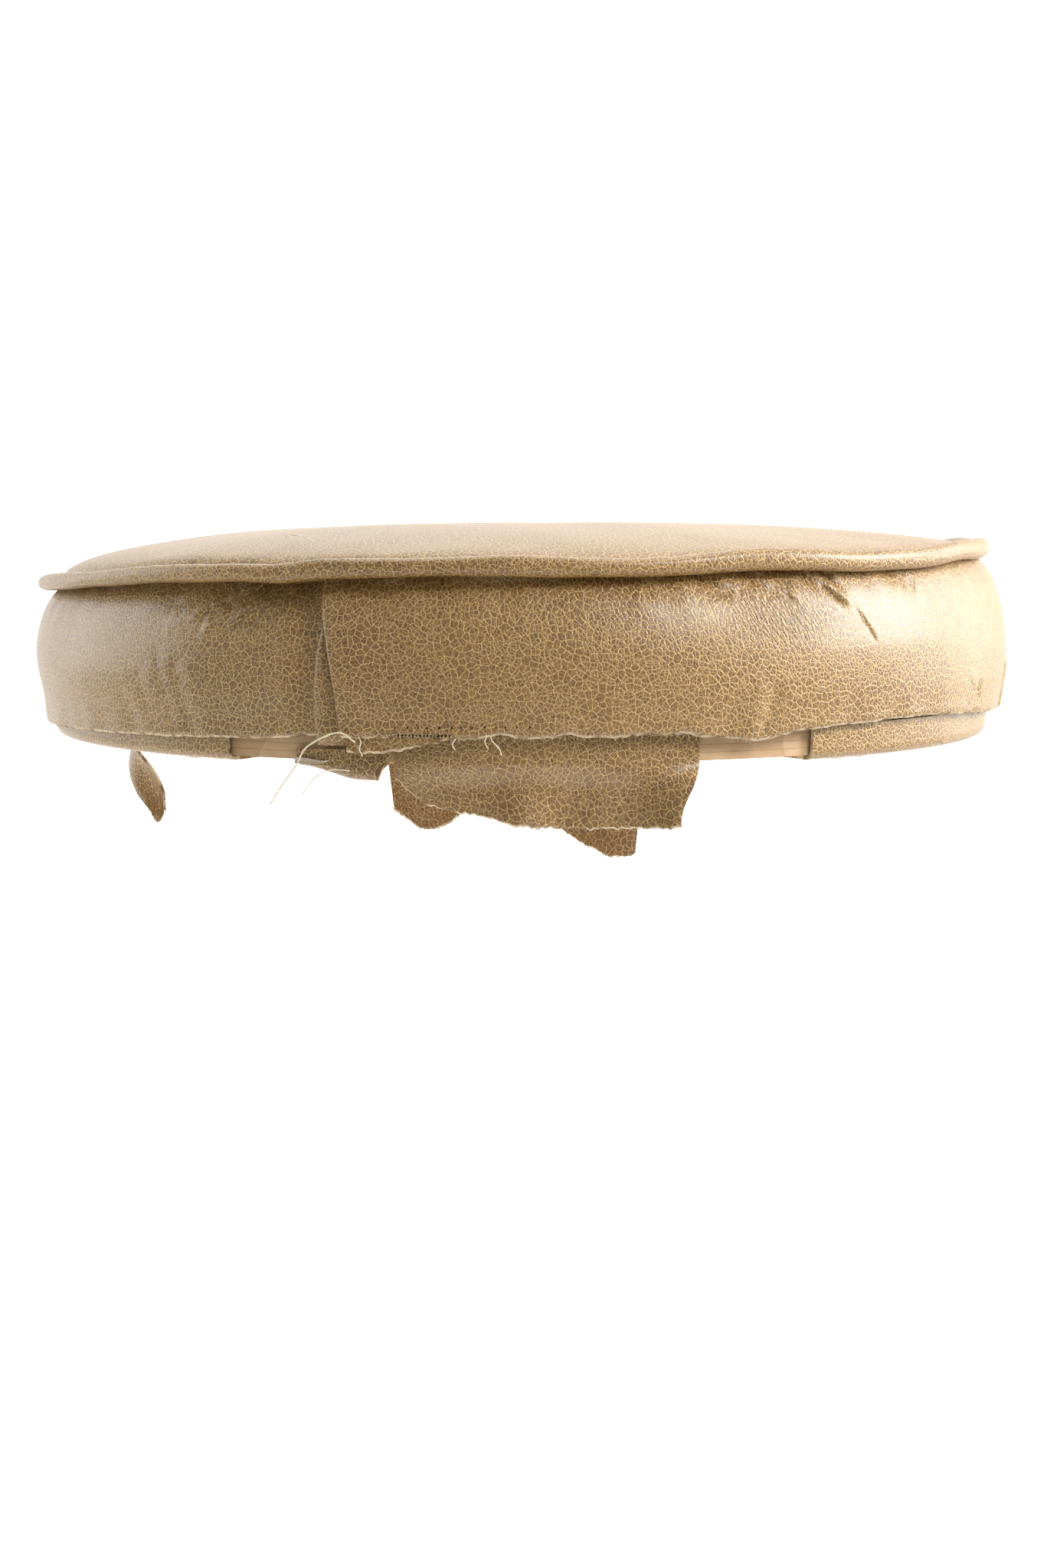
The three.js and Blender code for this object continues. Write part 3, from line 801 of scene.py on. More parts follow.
def side_band():
    around = band_azimuths()
    up = np.linspace(0, 1, 58) ** 0.94
    azimuth, share = np.meshgrid(around, up, indexing="ij")
    lean = lap_azimuth(8 * MM + (SEAM_Z - 8 * MM) * share) - LAP
    azimuth = azimuth + lean * np.exp(-(((azimuth - LAP) / math.radians(14)) ** 2))
    low = hem_z(azimuth)
    torn = hump(azimuth, 0, 26)
    low = low + ragged(azimuth, 21) * (0.35 + 0.65 * torn)
    for centre, half, height in NOTCHES:
        low = low + height * MM * hump(azimuth, centre, half)
    tucked = smooth((np.degrees(azimuth - LAP) - 359) / 1.5)
    top = SEAM_Z + 2.4 * MM - tucked * 9 * MM
    height = low + (top - low) * share
    radius = band_radius(azimuth, height) - sink(azimuth)
    from_edge = np.degrees(azimuth - azimuth[:1])
    raised = 1.3 * MM * (1 - smooth(from_edge / 7)) * (1 - 0.5 * smooth((share - 0.8) / 0.2))
    short_of_edge = 1 - np.minimum(from_edge / 0.55, 1)
    rolled = 1.6 * MM * (1 - np.sqrt(np.clip(1 - short_of_edge**2, 0, 1)))
    radius = radius + raised - rolled
    grid = settle(polar(radius, azimuth, height))
    cloth = np.stack([azimuth * PAD_R, height], axis=-1)
    # Painted shade: `fold` darkens the bottoms of sharp creases, and `crinkle` darkens the
    # valleys of the crinkles.
    made = leaf("side_band_cover", grid, SKIN_T, cloth, fray=0.9 * MM,
                crinkle=crinkle_amount(azimuth, height), fold=crease_shade_line(azimuth, height))
    declare_sheet(made, PAD_R * math.radians(369.5))
    return belongs(made, "vinyl", "pad", "side_band")


band = side_band()
print("side band:", triangles(band), "triangles")

# %% [markdown]
# ## The lap
#
# Beside the lap the strip's turned end shows as a narrow pleat. It is a rolled fold: thin at
# the top, 9 mm wide at the hem, where it curls forward. A sheet bent over itself is easiest as
# a section swept down the joint, so each row of the grid is the fold's section at one height.


# %% The rolled pleat at the lap
def lap_pleat():
    across, share = np.meshgrid(np.linspace(-1, 1, 25), np.linspace(0, 1, 44), indexing="ij")
    low, high = hem_z(LAP) - 3.4 * MM, 44.4 * MM
    height = low + (high - low) * share
    left, right = pleat_left(height), lap_azimuth(height) + math.radians(0.45)
    azimuth = left + (right - left) * (across + 1) / 2
    roll = np.sqrt(np.maximum(0, 1 - across**2)) * (1 - 0.35 * across)
    base = band_radius(azimuth, np.maximum(height, 3 * MM)) - 3.6 * MM
    curl = 1.2 * MM * (1 - smooth(share / 0.1))
    radius = base + (0.9 + 2.3 * (1 - share) ** 0.6) * MM * roll - curl
    cloth = np.stack([azimuth * PAD_R + 0.02, height], axis=-1)
    made = leaf("lap_pleat", settle(polar(radius, azimuth, height)), 0.9 * MM, cloth,
                fray=0.15 * MM)
    declare_sheet(made, 42 * MM)
    return belongs(made, "vinyl", "pad", "lap_facing")


pleat = lap_pleat()
print("lap pleat:", triangles(pleat), "triangles")


# %% [markdown]
# ## The torn hem
#
# Below a row of close perforations hangs what is left of the turned-up hem: 4 mm deep at the
# lap and tapering away to the right. It is the same skin as the band, in the same surface.

# %% The remnant of the hem
def hem_remnant():
    around = np.linspace(LAP + math.radians(2.0), math.radians(-8.0), 60)
    down = np.linspace(0, 1, 8)
    azimuth, share = np.meshgrid(around, down, indexing="ij")
    run = (azimuth - around[0]) / (around[-1] - around[0])
    depth = (4.4 * (1 - run**2.2) + 0.25) * MM
    high = hem_z(azimuth) - 0.15 * MM
    height = high - depth * (1 - share) + ragged(azimuth, 33) * (1 - share)
    radius = band_radius(azimuth, np.maximum(height, 5 * MM)) - 0.25 * MM + 0.5 * MM * (1 - share)
    grid = polar(radius, azimuth, height)
    cloth = np.stack([azimuth * PAD_R, height], axis=-1)
    made = leaf("hem_strip", grid, SKIN_T, cloth, fray=0.7 * MM)
    declare_sheet(made, 29 * MM)
    return belongs(made, "vinyl", "pad", "hem_remnant")


remnant = hem_remnant()
print("hem remnant:", triangles(remnant), "triangles")

# %% [markdown]
# ## The welt
#
# The welt is a strip of the same leatherette folded round a filler cord. It isn't a perfect
# ring: the seam pulls it down in some places and it lifts in others, and it is flattened from
# being sat on. Its section is a soft oval with a groove behind it, where it meets the top.

# %% The welt's wave round the pad
WELT_Z = WELT_MID_Z - 0.5 * MM  # its cord has sunk a little
# Azimuth in degrees and how far the welt lies above (or below) WELT_Z there, in mm.
WELT_WAVES = [(-180, 0.6), (-150, -0.6), (-120, 0.6), (-95, -1.2), (-85, -1.7), (-60, 0),
              (-45, 1), (-29, 1.6), (-24, 0), (-20.5, 1.4), (-8, 0.9), (0, 0.5), (5, -0.6),
              (12, -1.3), (18.6, -1.2), (25, -0.4), (31.5, -0.9), (40, -2), (50, -2), (60, -0.4),
              (70, -0.1), (80, 0.1), (95, 0), (120, -0.9), (150, 0.7)]


def welt_lift(azimuth):
    degrees, (at, lift) = np.degrees(azimuth), np.transpose(WELT_WAVES)
    near = [np.interp(degrees + d, at, lift, period=360) for d in (-2.4, -1.2, 0, 1.2, 2.4)]
    rounded_off = np.average(near, axis=0, weights=[1, 2, 3, 2, 1])
    return rounded_off * MM + 0.2 * MM * ripple(azimuth, 12, 9, 26)


def welt():
    rows, columns = 720, 26
    azimuth = full_turn(rows)[:, None]
    turn = full_turn(columns)[None, :]
    tall = (3.35 + 0.22 * ripple(azimuth, 14, 6, 30)) * MM
    deep = (3.9 + 0.25 * ripple(azimuth, 15, 5, 22)) * MM
    flat_top = 1 - 0.16 * np.maximum(0, np.sin(turn)) ** 3
    full = np.where(np.sin(turn) < 0, 0.8, 1)
    out, up = [np.sign(f) * np.abs(f) ** full for f in (np.cos(turn), np.sin(turn))]
    radius = WELT_MID_R + 0.1 * MM + deep * out
    puckers = 0.10 * MM * ripple(azimuth, 16, 70, 160) * (1 - np.cos(turn - 3.6)) / 2
    height = WELT_Z + welt_lift(azimuth) + (tall * flat_top + puckers) * up
    grid = settle(polar(radius + 0 * turn, azimuth + 0 * turn, height))
    girth = 2 * math.pi * 3.6 * MM
    made = closed_tube("welt_cover_skin", grid, lambda i, j: (i / rows * 2 * math.pi * WELT_MID_R,
                                                              j / columns * girth), [skin])
    face_outwards(made)
    return belongs(made, "vinyl", "pad", "welt_cover")


welt_piece = welt()
print("welt:", triangles(welt_piece), "triangles")

# %% [markdown]
# ## The top, by cloth simulation
#
# The top panel is drawn tight over foam and wadding, and sewn down all round. A plain dome
# looks machined, so the dome is given air: a closed, slightly low lens is remeshed evenly,
# blown up a little as cloth with its rim held at the seam, and kept. Held points that aren't
# evenly spaced leave the shallow hollows that a sewn cover has.


# %% A low lens for the top
TOP_R = WELT_MID_R - 2.6 * MM


def fullness(radius):
    """1 at the middle of the top and 0 at the welt: nearly flat, with a quick fall at the rim."""
    share = np.minimum(radius / WELT_MID_R, 1)
    return 1 - 0.46 * share**2 - 0.54 * share**12


def dome_z(radius):
    return WELT_Z + (CROWN_Z - WELT_Z) * fullness(radius)


def lens():
    rings = np.linspace(0, 1, 40)[1:] ** 0.8 * TOP_R
    around = full_turn(120)
    points, faces = [(0, 0, dome_z(0) - 1.2 * MM)], []
    for radius in rings:
        drop = 1.2 * MM * (1 - (radius / TOP_R) ** 8)
        points += [tuple(p) for p in polar(radius, around, dome_z(radius) - drop + 0 * around)]
    for radius in rings[::-1]:
        low = WELT_MID_Z - 4.8 * MM - 6 * MM * (1 - (radius / TOP_R) ** 2)
        points += [tuple(p) for p in polar(radius, around, low + 0 * around)]
    points.append((0, 0, WELT_MID_Z - 10.8 * MM))
    count, layers = len(around), 2 * len(rings)
    faces += quads(layers, count, wrap_columns=True, start=1, flip=True)
    last = len(points) - 1
    for j in range(count):
        k = (j + 1) % count
        faces.append((0, 1 + j, 1 + k))
        faces.append((last, 1 + (layers - 1) * count + k, 1 + (layers - 1) * count + j))
    made = make_object("top_panel_cover", points, faces, [skin])
    return face_outwards(made)


# %% Blow it up as cloth and keep the result
def run_modifiers(made):
    evaluated = made.evaluated_get(bpy.context.evaluated_depsgraph_get())
    mesh = bpy.data.meshes.new_from_object(evaluated)
    made.modifiers.clear()
    made.data = mesh
    return made


def inflated(made, pressure, frames, cap):
    remesh = made.modifiers.new("even", "REMESH")
    remesh.mode = "VOXEL"
    remesh.voxel_size = 4.5 * MM
    run_modifiers(made)
    before = np.array([v.co for v in made.data.vertices])
    out = np.hypot(before[:, 0], before[:, 1])
    azimuth = np.arctan2(before[:, 0], -before[:, 1])
    hold = made.vertex_groups.new(name="held")
    pull = smooth((out - TOP_R + (9 + 5 * ripple(azimuth, 41, 6, 14)) * MM) / (7 * MM))
    pull = np.maximum(pull, (before[:, 2] < WELT_MID_Z) * 1.0)
    for index, weight in enumerate(pull):
        hold.add([index], float(weight), "REPLACE")
    cloth = made.modifiers.new("cloth", "CLOTH")
    cloth.settings.use_pressure = True
    cloth.settings.uniform_pressure_force = pressure
    cloth.settings.vertex_group_mass = "held"
    cloth.settings.tension_stiffness = 12
    cloth.settings.compression_stiffness = 12
    cloth.settings.bending_stiffness = 0.6
    cloth.settings.effector_weights.gravity = 0
    cloth.point_cache.frame_start, cloth.point_cache.frame_end = 1, frames
    scene = bpy.context.scene
    for step in range(1, frames + 1):
        scene.frame_set(step)
    evaluated = made.evaluated_get(bpy.context.evaluated_depsgraph_get())
    after = np.array([v.co for v in evaluated.data.vertices])
    made.modifiers.clear()
    scene.frame_set(1)
    way = after - before
    far = np.linalg.norm(way, axis=1, keepdims=True)
    kept = before + way * np.minimum(1, cap / np.maximum(far, 1e-9))
    made.data.vertices.foreach_set("co", kept.ravel())
    print("cloth moved %.1f mm at most, kept to %.1f mm" % (far.max() / MM, cap / MM))
    return made


def top_panel():
    made = inflated(lens(), 3.0, 20, 6 * MM)
    made.vertex_groups.clear()
    finer = made.modifiers.new("finer", "SUBSURF")
    finer.levels = finer.render_levels = 1
    run_modifiers(made)
    points = np.array([v.co for v in made.data.vertices])
    out, azimuth = np.hypot(points[:, 0], points[:, 1]), np.arctan2(points[:, 0], -points[:, 1])
    inner = 1 - smooth((out - 0.1) / (0.06))
    waves = ripple(azimuth, 51, 2, 5) * smooth(out / 0.1) * (1 - smooth((out - 0.13) / 0.04))
    hollows = np.sin(points[:, 0] * 61 + 2) * np.cos(points[:, 1] * 47)
    bumps = 0.5 * MM * waves + 0.25 * MM * hollows
    points[:, 2] += bumps * (points[:, 2] > WELT_MID_Z) * (0.4 + 0.6 * inner)
    tilt = LEAN * 1.04 * WELT_MID_R / PAD_R * np.sin(azimuth)
    points[:, 2] += (1 - fullness(out)) * (tilt + welt_lift(azimuth))
    points[:, 0] -= SHIFT
    made.data.vertices.foreach_set("co", points.ravel())
    layer = made.data.uv_layers.get("cloth") or made.data.uv_layers.new(name="cloth")
    corners = np.zeros(len(made.data.loops), int)
    made.data.loops.foreach_get("vertex_index", corners)
    layer.data.foreach_set("uv", (points[corners, :2] + 0.7).ravel())
    made.data.materials.clear()
    made.data.materials.append(skin)
    made.data.shade_smooth()
    return belongs(made, "vinyl", "pad", "top_panel")


top = top_panel()
print("top panel:", triangles(top), "triangles")

# %% [markdown]
# ## What is inside
#
# Foam, wadding and filler cord are hidden in the cover, but the CAD model has them too,
# so each is a real piece: a turned outline with a little unevenness, and a twisted cord.


# %% Turned filling
def turned(name, outline, finish, seed, wobble):
    """An outline of (radius, height) from the axis at the bottom to the axis at the top."""
    around = full_turn(160)
    radii, heights = np.array(outline).T
    points = [(0, 0, heights[0])]
    for radius, height in list(zip(radii, heights))[1:-1]:
        uneven = wobble * ripple(around, seed, 3, 17)
        ring = polar(radius - abs(uneven), around, height)
        points += [tuple(p) for p in settle(ring)]
    points.append(tuple(settle(np.array([0, 0, heights[-1]]))))
    count, layers, last = len(around), len(outline) - 2, len(points) - 1
    faces = quads(layers, count, wrap_columns=True, start=1)
    for j in range(count):
        k = (j + 1) % count
        faces.append((0, 1 + k, 1 + j))
        faces.append((last, last - count + j, last - count + k))
    return face_outwards(make_object(name, points, faces, [finish]))


def rounded(outline, steps):
    """More points along an outline, so that its corners shade softly."""
    outline = np.array(outline)
    run = run_along(outline)
    at = np.unique(np.concatenate([run, np.linspace(0, run[-1], steps)]))
    return list(zip(np.interp(at, run, outline[:, 0]), np.interp(at, run, outline[:, 1])))


def filling():
    low = BOARD_T + 0.3 * MM
    neck = WELT_MID_R - 8.8 * MM
    wall = [(PAD_R - 5.6 * MM - inset(z * MM), z * MM) for z in (17, 24, 31, 38)]
    dome = [(neck * s, 52 * MM + 11 * MM * (1 - s**3)) for s in (1, 0.85, 0.6, 0.3, 0)]
    core_line = [(0, low), (BOARD_R - 4 * MM, low), *wall, (neck, 46 * MM), *dome]
    core = turned("foam", rounded(core_line, 40), foam_finish, 61, 0.15 * MM)
    belongs(core, "foam", "pad", "foam_core")

    reach = neck - 4 * MM
    over = [(reach * s, 55.6 * MM + 11.9 * MM * (1 - s**3)) for s in (1, 0.85, 0.6, 0.3, 0)]
    under = [(reach * s, 52.4 * MM + 11 * MM * (1 - s**3)) for s in (0, 0.3, 0.6, 0.85, 0.98)]
    layer = turned("fibre_wadding", rounded(under + over, 40), fibre_finish, 62, 0.4 * MM)
    belongs(layer, "fibre", "pad", "wadding")
    return core, layer


core, layer = filling()
print("foam:", triangles(core), "wadding:", triangles(layer), "triangles")


# %% The twisted filler cord of the welt
def filler_cord():
    rows, columns, strands, turns = 1200, 10, 3, 150
    azimuth = full_turn(rows)[:, None]
    turn = full_turn(columns)[None, :]
    lobes = 0.14 * MM * np.cos(strands * turn + turns * azimuth)
    thick = 2.0 * MM + lobes
    height = WELT_Z + welt_lift(azimuth) + thick * np.sin(turn)
    grid = settle(polar(WELT_MID_R + thick * np.cos(turn), azimuth + 0 * turn, height))
    made = closed_tube("filler_cord", grid, lambda i, j: (i * MM, j * MM), [fibre_finish])
    face_outwards(made)
    return belongs(made, "fibre", "pad", "welt_cord")


cord_piece = filler_cord()
print("filler cord:", triangles(cord_piece), "triangles")

# %% [markdown]
# ## The collar and its flaps
#
# The collar is a strip that comes round the board's edge and is stapled underneath. A straight
# strip bent into a flat ring gathers, so it ripples between its staples. At the front it is
# torn. What hangs there are sheets of the same leatherette. Each is one sheet from where it is
# still held to its free edge, and it bends at the crease.


# %% The collar
COLLAR_IN_R = BOARD_R - 23.5 * MM
UNDER = -1.5 * MM  # the collar's lower face


def collar():
    around = np.radians(np.arange(32, 328.01, 0.8))
    edge_r = BOARD_R + 1.6 * MM
    way = np.array([(COLLAR_IN_R, UNDER), (edge_r - 2 * MM, UNDER),
                    (edge_r - 0.6 * MM, UNDER / 2), (edge_r + 0.4 * MM, 1 * MM),
                    (edge_r + 0.9 * MM, 9.6 * MM)])
    run = run_along(way)
    steps = np.linspace(0, run[-1], 34)
    azimuth, along = np.meshgrid(around, steps, indexing="ij")
    radius, height = (np.interp(along, run, way[:, k]) for k in (0, 1))
    below = smooth((BOARD_R - 1 * MM - radius) / (6 * MM))
    to_staple = (np.degrees(azimuth) - 50) % 20 / 20
    gather = 0.5 * (1 - np.cos(2 * math.pi * to_staple))
    wavy = 0.5 + 0.5 * np.sin(azimuth * 92 + 3 * np.sin(azimuth * 7))
    height = height - 1.3 * MM * below * gather * wavy
    radius = radius + ragged(azimuth, 71) * (1 - smooth(along / (6 * MM)))
    cloth = np.stack([azimuth * BOARD_R, along], axis=-1)
    made = leaf("collar_skin", polar(radius, azimuth, height), SKIN_T, cloth)
    declare_sheet(made, BOARD_R * math.radians(296))
    return belongs(made, "vinyl", "pad", "collar")


collar_piece = collar()
print("collar:", triangles(collar_piece), "triangles")


# %% The torn corner of the collar, which sags off the board's edge
def collar_corner():
    around = np.radians(np.linspace(-23.6, -14.9, 60))
    way = np.array([(152.8, -1.5), (164, -1.6), (167, -4.1), (169.3, -5.6), (171.9, -5.2),
                    (173.4, -2.8), (173.5, 0.5), (173.2, 3.6)]) * MM
    run = run_along(way)
    azimuth, along = np.meshgrid(around, np.linspace(0, run[-1], 44), indexing="ij")
    radius, height = (np.interp(along, run, way[:, k]) for k in (0, 1))
    for _ in range(3):
        radius[:, 1:-1] = (radius[:, :-2] + 2 * radius[:, 1:-1] + radius[:, 2:]) / 4
        height[:, 1:-1] = (height[:, :-2] + 2 * height[:, 1:-1] + height[:, 2:]) / 4
    across = (azimuth - around[0]) / (around[-1] - around[0])
    loose = np.sin(math.pi * np.clip((along - 0.010) / (run[-1] - 0.010), 0, 1))
    fold = np.sin(across * 8.5 + 1) + 0.5 * np.sin(across * 19 + 2)
    tight = (1 - smooth(across / 0.8)) * loose
    radius = radius + 0.7 * MM * fold * loose * across - 0.5 * MM * tight
    height = height - 0.6 * MM * loose * across + 3.4 * MM * tight * (height < -1.6 * MM)
    azimuth = azimuth + math.radians(1.7) * across * smooth((height + 4 * MM) / (7 * MM))
    cloth = np.stack([azimuth * BOARD_R, along], axis=-1)
    # The crinkle amount also sets how dark its valleys are painted, as painted shade.
    made = leaf("collar_corner_skin", polar(radius, azimuth, height), SKIN_T, cloth,
                crinkle=0.8 * loose)
    declare_sheet(made, 27 * MM)
    return belongs(made, "vinyl", "pad", "collar_corner")


corner = collar_corner()

# %% [markdown]
# ## Flaps
#
# Each flap is one sheet with the tab that still holds it. The front one is held on the board's
# edge, and the two behind it under the board, each by a staple. A flap's own shape is a
# function of two shares, across it and up it; the sheet is worked out from the torn edge
# upwards and bends at the crease in one piece.


# %% A flap from its torn edge up to its tab
def hung_flap(name, shape, length, tab, node, seed, dark=False):
    across, up = np.meshgrid(np.linspace(0, 1, 72), np.linspace(0, 1, 40), indexing="ij")
    chance = np.random.default_rng(seed)
    teeth = sum(chance.normal() * np.sin(k * across * 2 * math.pi + chance.uniform(0, 6))
                for k in range(3, 40)) / 6
    grid = shape(across, up)
    grid[..., 2] += 0.35 * MM * teeth * (1 - smooth(up / 0.3))
    cloth = np.stack([grid[..., 0] + 0.1 * seed, up * length], axis=-1)
    # The crinkle amount also sets how dark its valleys are painted, as painted shade, more
    # towards the torn edge.
    wrinkled = 0.5 * (1 - up)
    made = leaf(name, grid, SKIN_T, cloth, fray=0.7 * MM, crinkle=wrinkled)
    nodes = [node] + ([tab] if tab else [])
    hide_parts(*nodes)
    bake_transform(made)
    return made, grid


def below(across, table):
    """How low the torn edge hangs, from pairs of share across and millimetres."""
    shares, lengths = np.array(table).T
    smoothed = [np.interp(across + d, shares, lengths) for d in (-0.06, 0, 0.06)]
    return np.mean(smoothed, axis=0) * MM


def bent_path(up, corner_y, tab_length, drop, bend=2.0 * MM):
    """From the torn edge straight up, round a small bend, and back under the board."""
    straight = drop - bend
    arc = bend * math.pi / 2
    total = straight + arc + tab_length
    along = up * total
    turn = np.clip((along - straight) / arc, 0, 1) * math.pi / 2
    y = corner_y + bend * (1 - np.cos(turn)) + np.maximum(0, along - straight - arc)
    z = UNDER - 0.4 * MM - drop + np.minimum(along, straight) + bend * np.sin(turn)
    return y, z


# %% The front flap
def front_shape(across, up):
    rounded_end = 7 * np.clip(1 - across / 0.1, 0, 1) ** 2
    low = -below(across, [(0, 10.5), (0.06, 12.4), (0.14, 14.0), (0.28, 16.2), (0.42, 18.9),
                          (0.6, 20.1), (0.85, 20.4), (1, 18.5)]) + rounded_end * MM
    z = low + (11.0 * MM - low) * up
    slant = smooth(-z / (18 * MM))
    x = (-38.5 + 93.5 * across + slant * (2.6 - 8.5 * across)) * MM
    on_edge = -np.sqrt((BOARD_R + 1.5 * MM) ** 2 - x**2)
    hang = smooth((0.5 * MM - z) / (9 * MM))
    fold = 2.6 * np.sin(2 * math.pi * across * 1.6 + 0.6) + 1.0 * np.sin(across * 23 + 1)
    free = -168.8 * MM + fold * MM * np.maximum(0, -z / (18 * MM))
    y = on_edge * (1 - hang) + np.minimum(free, on_edge + 5 * MM) * hang
    return np.stack([x, y, z], axis=-1)


front_flap, front_grid = hung_flap("flap_front_skin", front_shape, 29 * MM,
                                   "tab_front", "flap_front", 4)
print("front flap:", triangles(front_flap), "triangles")


# %% The flaps behind it
def left_shape(across, up):
    low = below(across, [(0, 21), (0.3, 28.5), (0.6, 27), (1, 19)])
    y, z = bent_path(up, -92.6 * MM, 10 * MM, low)
    hang = np.clip(-z / (28 * MM), 0, 1)
    x = (-29 + 34 * (across - 0.5) * (1 - 0.22 * hang)) * MM
    y = y + 2.0 * MM * np.sin(2 * math.pi * across) * hang**1.5
    return np.stack([x, y, z], axis=-1)


def right_shape(across, up):
    low = below(across, [(0, 23), (0.25, 31), (0.5, 37), (0.8, 42), (1, 41)])
    y, z = bent_path(up, -62.6 * MM, 10 * MM, low)
    hang = np.clip(-z / (42 * MM), 0, 1)
    x = (22 + 46 * (across - 0.5) * (1 - 0.18 * hang)) * MM
    y = y + 2.2 * MM * np.sin(2 * math.pi * across + 0.5) * hang**1.5
    return np.stack([x, y, z], axis=-1)


def side_shape(across, up):
    """This one hangs from the collar's inner edge and twists towards its narrow tip."""
    low = below(across, [(0, 26), (0.3, 33), (0.55, 36.4), (1, 25)])
    inward, z = bent_path(up, 149.4 * MM, 1.5 * MM, low, 1.2 * MM)
    hang = np.clip(-z / (34 * MM), 0, 1)
    twist = math.radians(62) * smooth(hang * 1.1)
    half = -30 * (across - 0.5) * (1 - 0.72 * hang) * MM
    curl = 1.5 * MM * np.sin(2 * math.pi * across) * hang
    x = -inward + 10.5 * MM * hang**1.4 - half * np.sin(twist) - curl * np.cos(twist)
    y = -3 * MM + half * np.cos(twist) - curl * np.sin(twist)
    return np.stack([x, y, z - 1.2 * MM], axis=-1)


left_flap, left_grid = hung_flap("flap_left_skin", left_shape, 40 * MM, "tab_left",
                                 "flap_left", 5)
right_flap, right_grid = hung_flap("flap_right_skin", right_shape, 52 * MM,
                                   "tab_right", "flap_right", 6)
side_flap, side_grid = hung_flap("flap_side_skin", side_shape, 38 * MM, None,
                                 "flap_side", 7)
print("flaps:", [triangles(f) for f in (left_flap, right_flap, side_flap)])

# %% [markdown]
# ## Holes, perforations and frays
#
# Three things repeat along an edge: needle holes above the hem, the close perforations of the
# seam that has given way, and fibres of the backing that stand out of every torn edge. One
# Geometry Nodes tree sets a shape on every point of a mesh, turned to face along the point's
# `facing` attribute, and unevenly sized. Real instances are lost in the export, so the tree
# realises them before it sets the finish.


# %% One tree that sets a shape on points
def setting_tree(name, shape):
    tree = bpy.data.node_groups.new(name, "GeometryNodeTree")
    wiring = Wiring(tree)
    kinds = {"Points": "Geometry", "Size": "Float", "Unevenness": "Float", "Seed": "Int",
             "Finish": "Material"}
    for label, kind in kinds.items():
        tree.interface.new_socket(label, in_out="INPUT", socket_type="NodeSocket" + kind)
    tree.interface.new_socket("Geometry", in_out="OUTPUT", socket_type="NodeSocketGeometry")
    given = tree.nodes.new("NodeGroupInput")
    inlet = {label: Value(wiring, given.outputs[label]) for label in kinds}
    facing = wiring.node("GeometryNodeInputNamedAttribute", {"data_type": "FLOAT_VECTOR"},
                         {"Name": "facing"})
    turned_to = wiring.node("FunctionNodeAlignRotationToVector", {"axis": "Z"},
                            {"Vector": facing})
    spin = wiring.node("FunctionNodeRandomValue", {"data_type": "FLOAT_VECTOR"},
                       {0: (-0.5, -0.5, 0), 1: (0.5, 0.5, 6.283), "Seed": inlet["Seed"]})
    spin = wiring.node("FunctionNodeEulerToRotation", None, {0: spin})
    turned_to = wiring.node("FunctionNodeRotateRotation", {"rotation_space": "LOCAL"},
                            {0: turned_to, 1: spin})
    uneven = wiring.node("FunctionNodeRandomValue", {"data_type": "FLOAT"},
                         {2: 1 - inlet["Unevenness"], 3: 1 + inlet["Unevenness"],
                          "Seed": inlet["Seed"] + 1}, 1)
    placed = wiring.node("GeometryNodeInstanceOnPoints", None,
                         {"Points": inlet["Points"], "Instance": shape(wiring),
                          "Rotation": turned_to, "Scale": uneven * inlet["Size"]})
    solid = wiring.node("GeometryNodeRealizeInstances", None, {0: placed})
    finished = wiring.node("GeometryNodeSetMaterial", None,
                           {"Geometry": solid, "Material": inlet["Finish"]})
    leave = tree.nodes.new("NodeGroupOutput")
    wiring.feed(leave.inputs[0], finished)
    return tree


def set_on_points(name, tree, places, facings, body, slot, **given):
    mesh = bpy.data.meshes.new(name)
    mesh.from_pydata([tuple(p) for p in places], [], [])
    faces_along = mesh.attributes.new("facing", "FLOAT_VECTOR", "POINT")
    faces_along.data.foreach_set("vector", np.asarray(facings, np.float32).ravel())
    made = bpy.data.objects.new(name, mesh)
    bpy.context.scene.collection.objects.link(made)
    modifier = made.modifiers.new("setting", "NODES")
    modifier.node_group = tree
    for item in tree.interface.items_tree:
        if item.in_out == "INPUT" and item.name in given:
            modifier[item.identifier] = given[item.name]
    run_modifiers(made)
    made.data.shade_smooth()
    belongs(made, slot, body)
    print(name + ":", len(places), "places,", triangles(made), "triangles")
    return made


# %% The two shapes: a punched hole and a bent fibre
def punched(wiring):
    ball = wiring.node("GeometryNodeMeshIcoSphere", None, {"Radius": 1.0, "Subdivisions": 2})
    return wiring.node("GeometryNodeTransform", None, {"Geometry": ball, "Scale": (1, 1, 0.3)})


def fibre(wiring):
    line = wiring.node("GeometryNodeCurveQuadraticBezier", None,
                       {"Resolution": 4, "Start": (0, 0, -0.15), "Middle": (0.06, 0, 0.5),
                        "End": (0.42, 0.1, 1.0)})
    run = wiring.node("GeometryNodeSplineParameter", None, None, "Factor")
    tapered = wiring.node("GeometryNodeSetCurveRadius", None,
                          {"Curve": line, "Radius": 1 - 0.75 * run})
    section = wiring.node("GeometryNodeCurvePrimitiveCircle", None,
                          {"Resolution": 4, "Radius": 0.045})
    return wiring.node("GeometryNodeCurveToMesh", None,
                       {"Curve": tapered, "Profile Curve": section, "Fill Caps": True})


hole_tree = setting_tree("punched_holes", punched)
fibre_tree = setting_tree("frayed_fibres", fibre)


# %% Holes along the front hem
def on_band(azimuth, height, proud):
    radius = band_radius(azimuth, height) + proud
    return settle(polar(radius, azimuth, height)), polar(1.0, azimuth, 0.0 * azimuth)


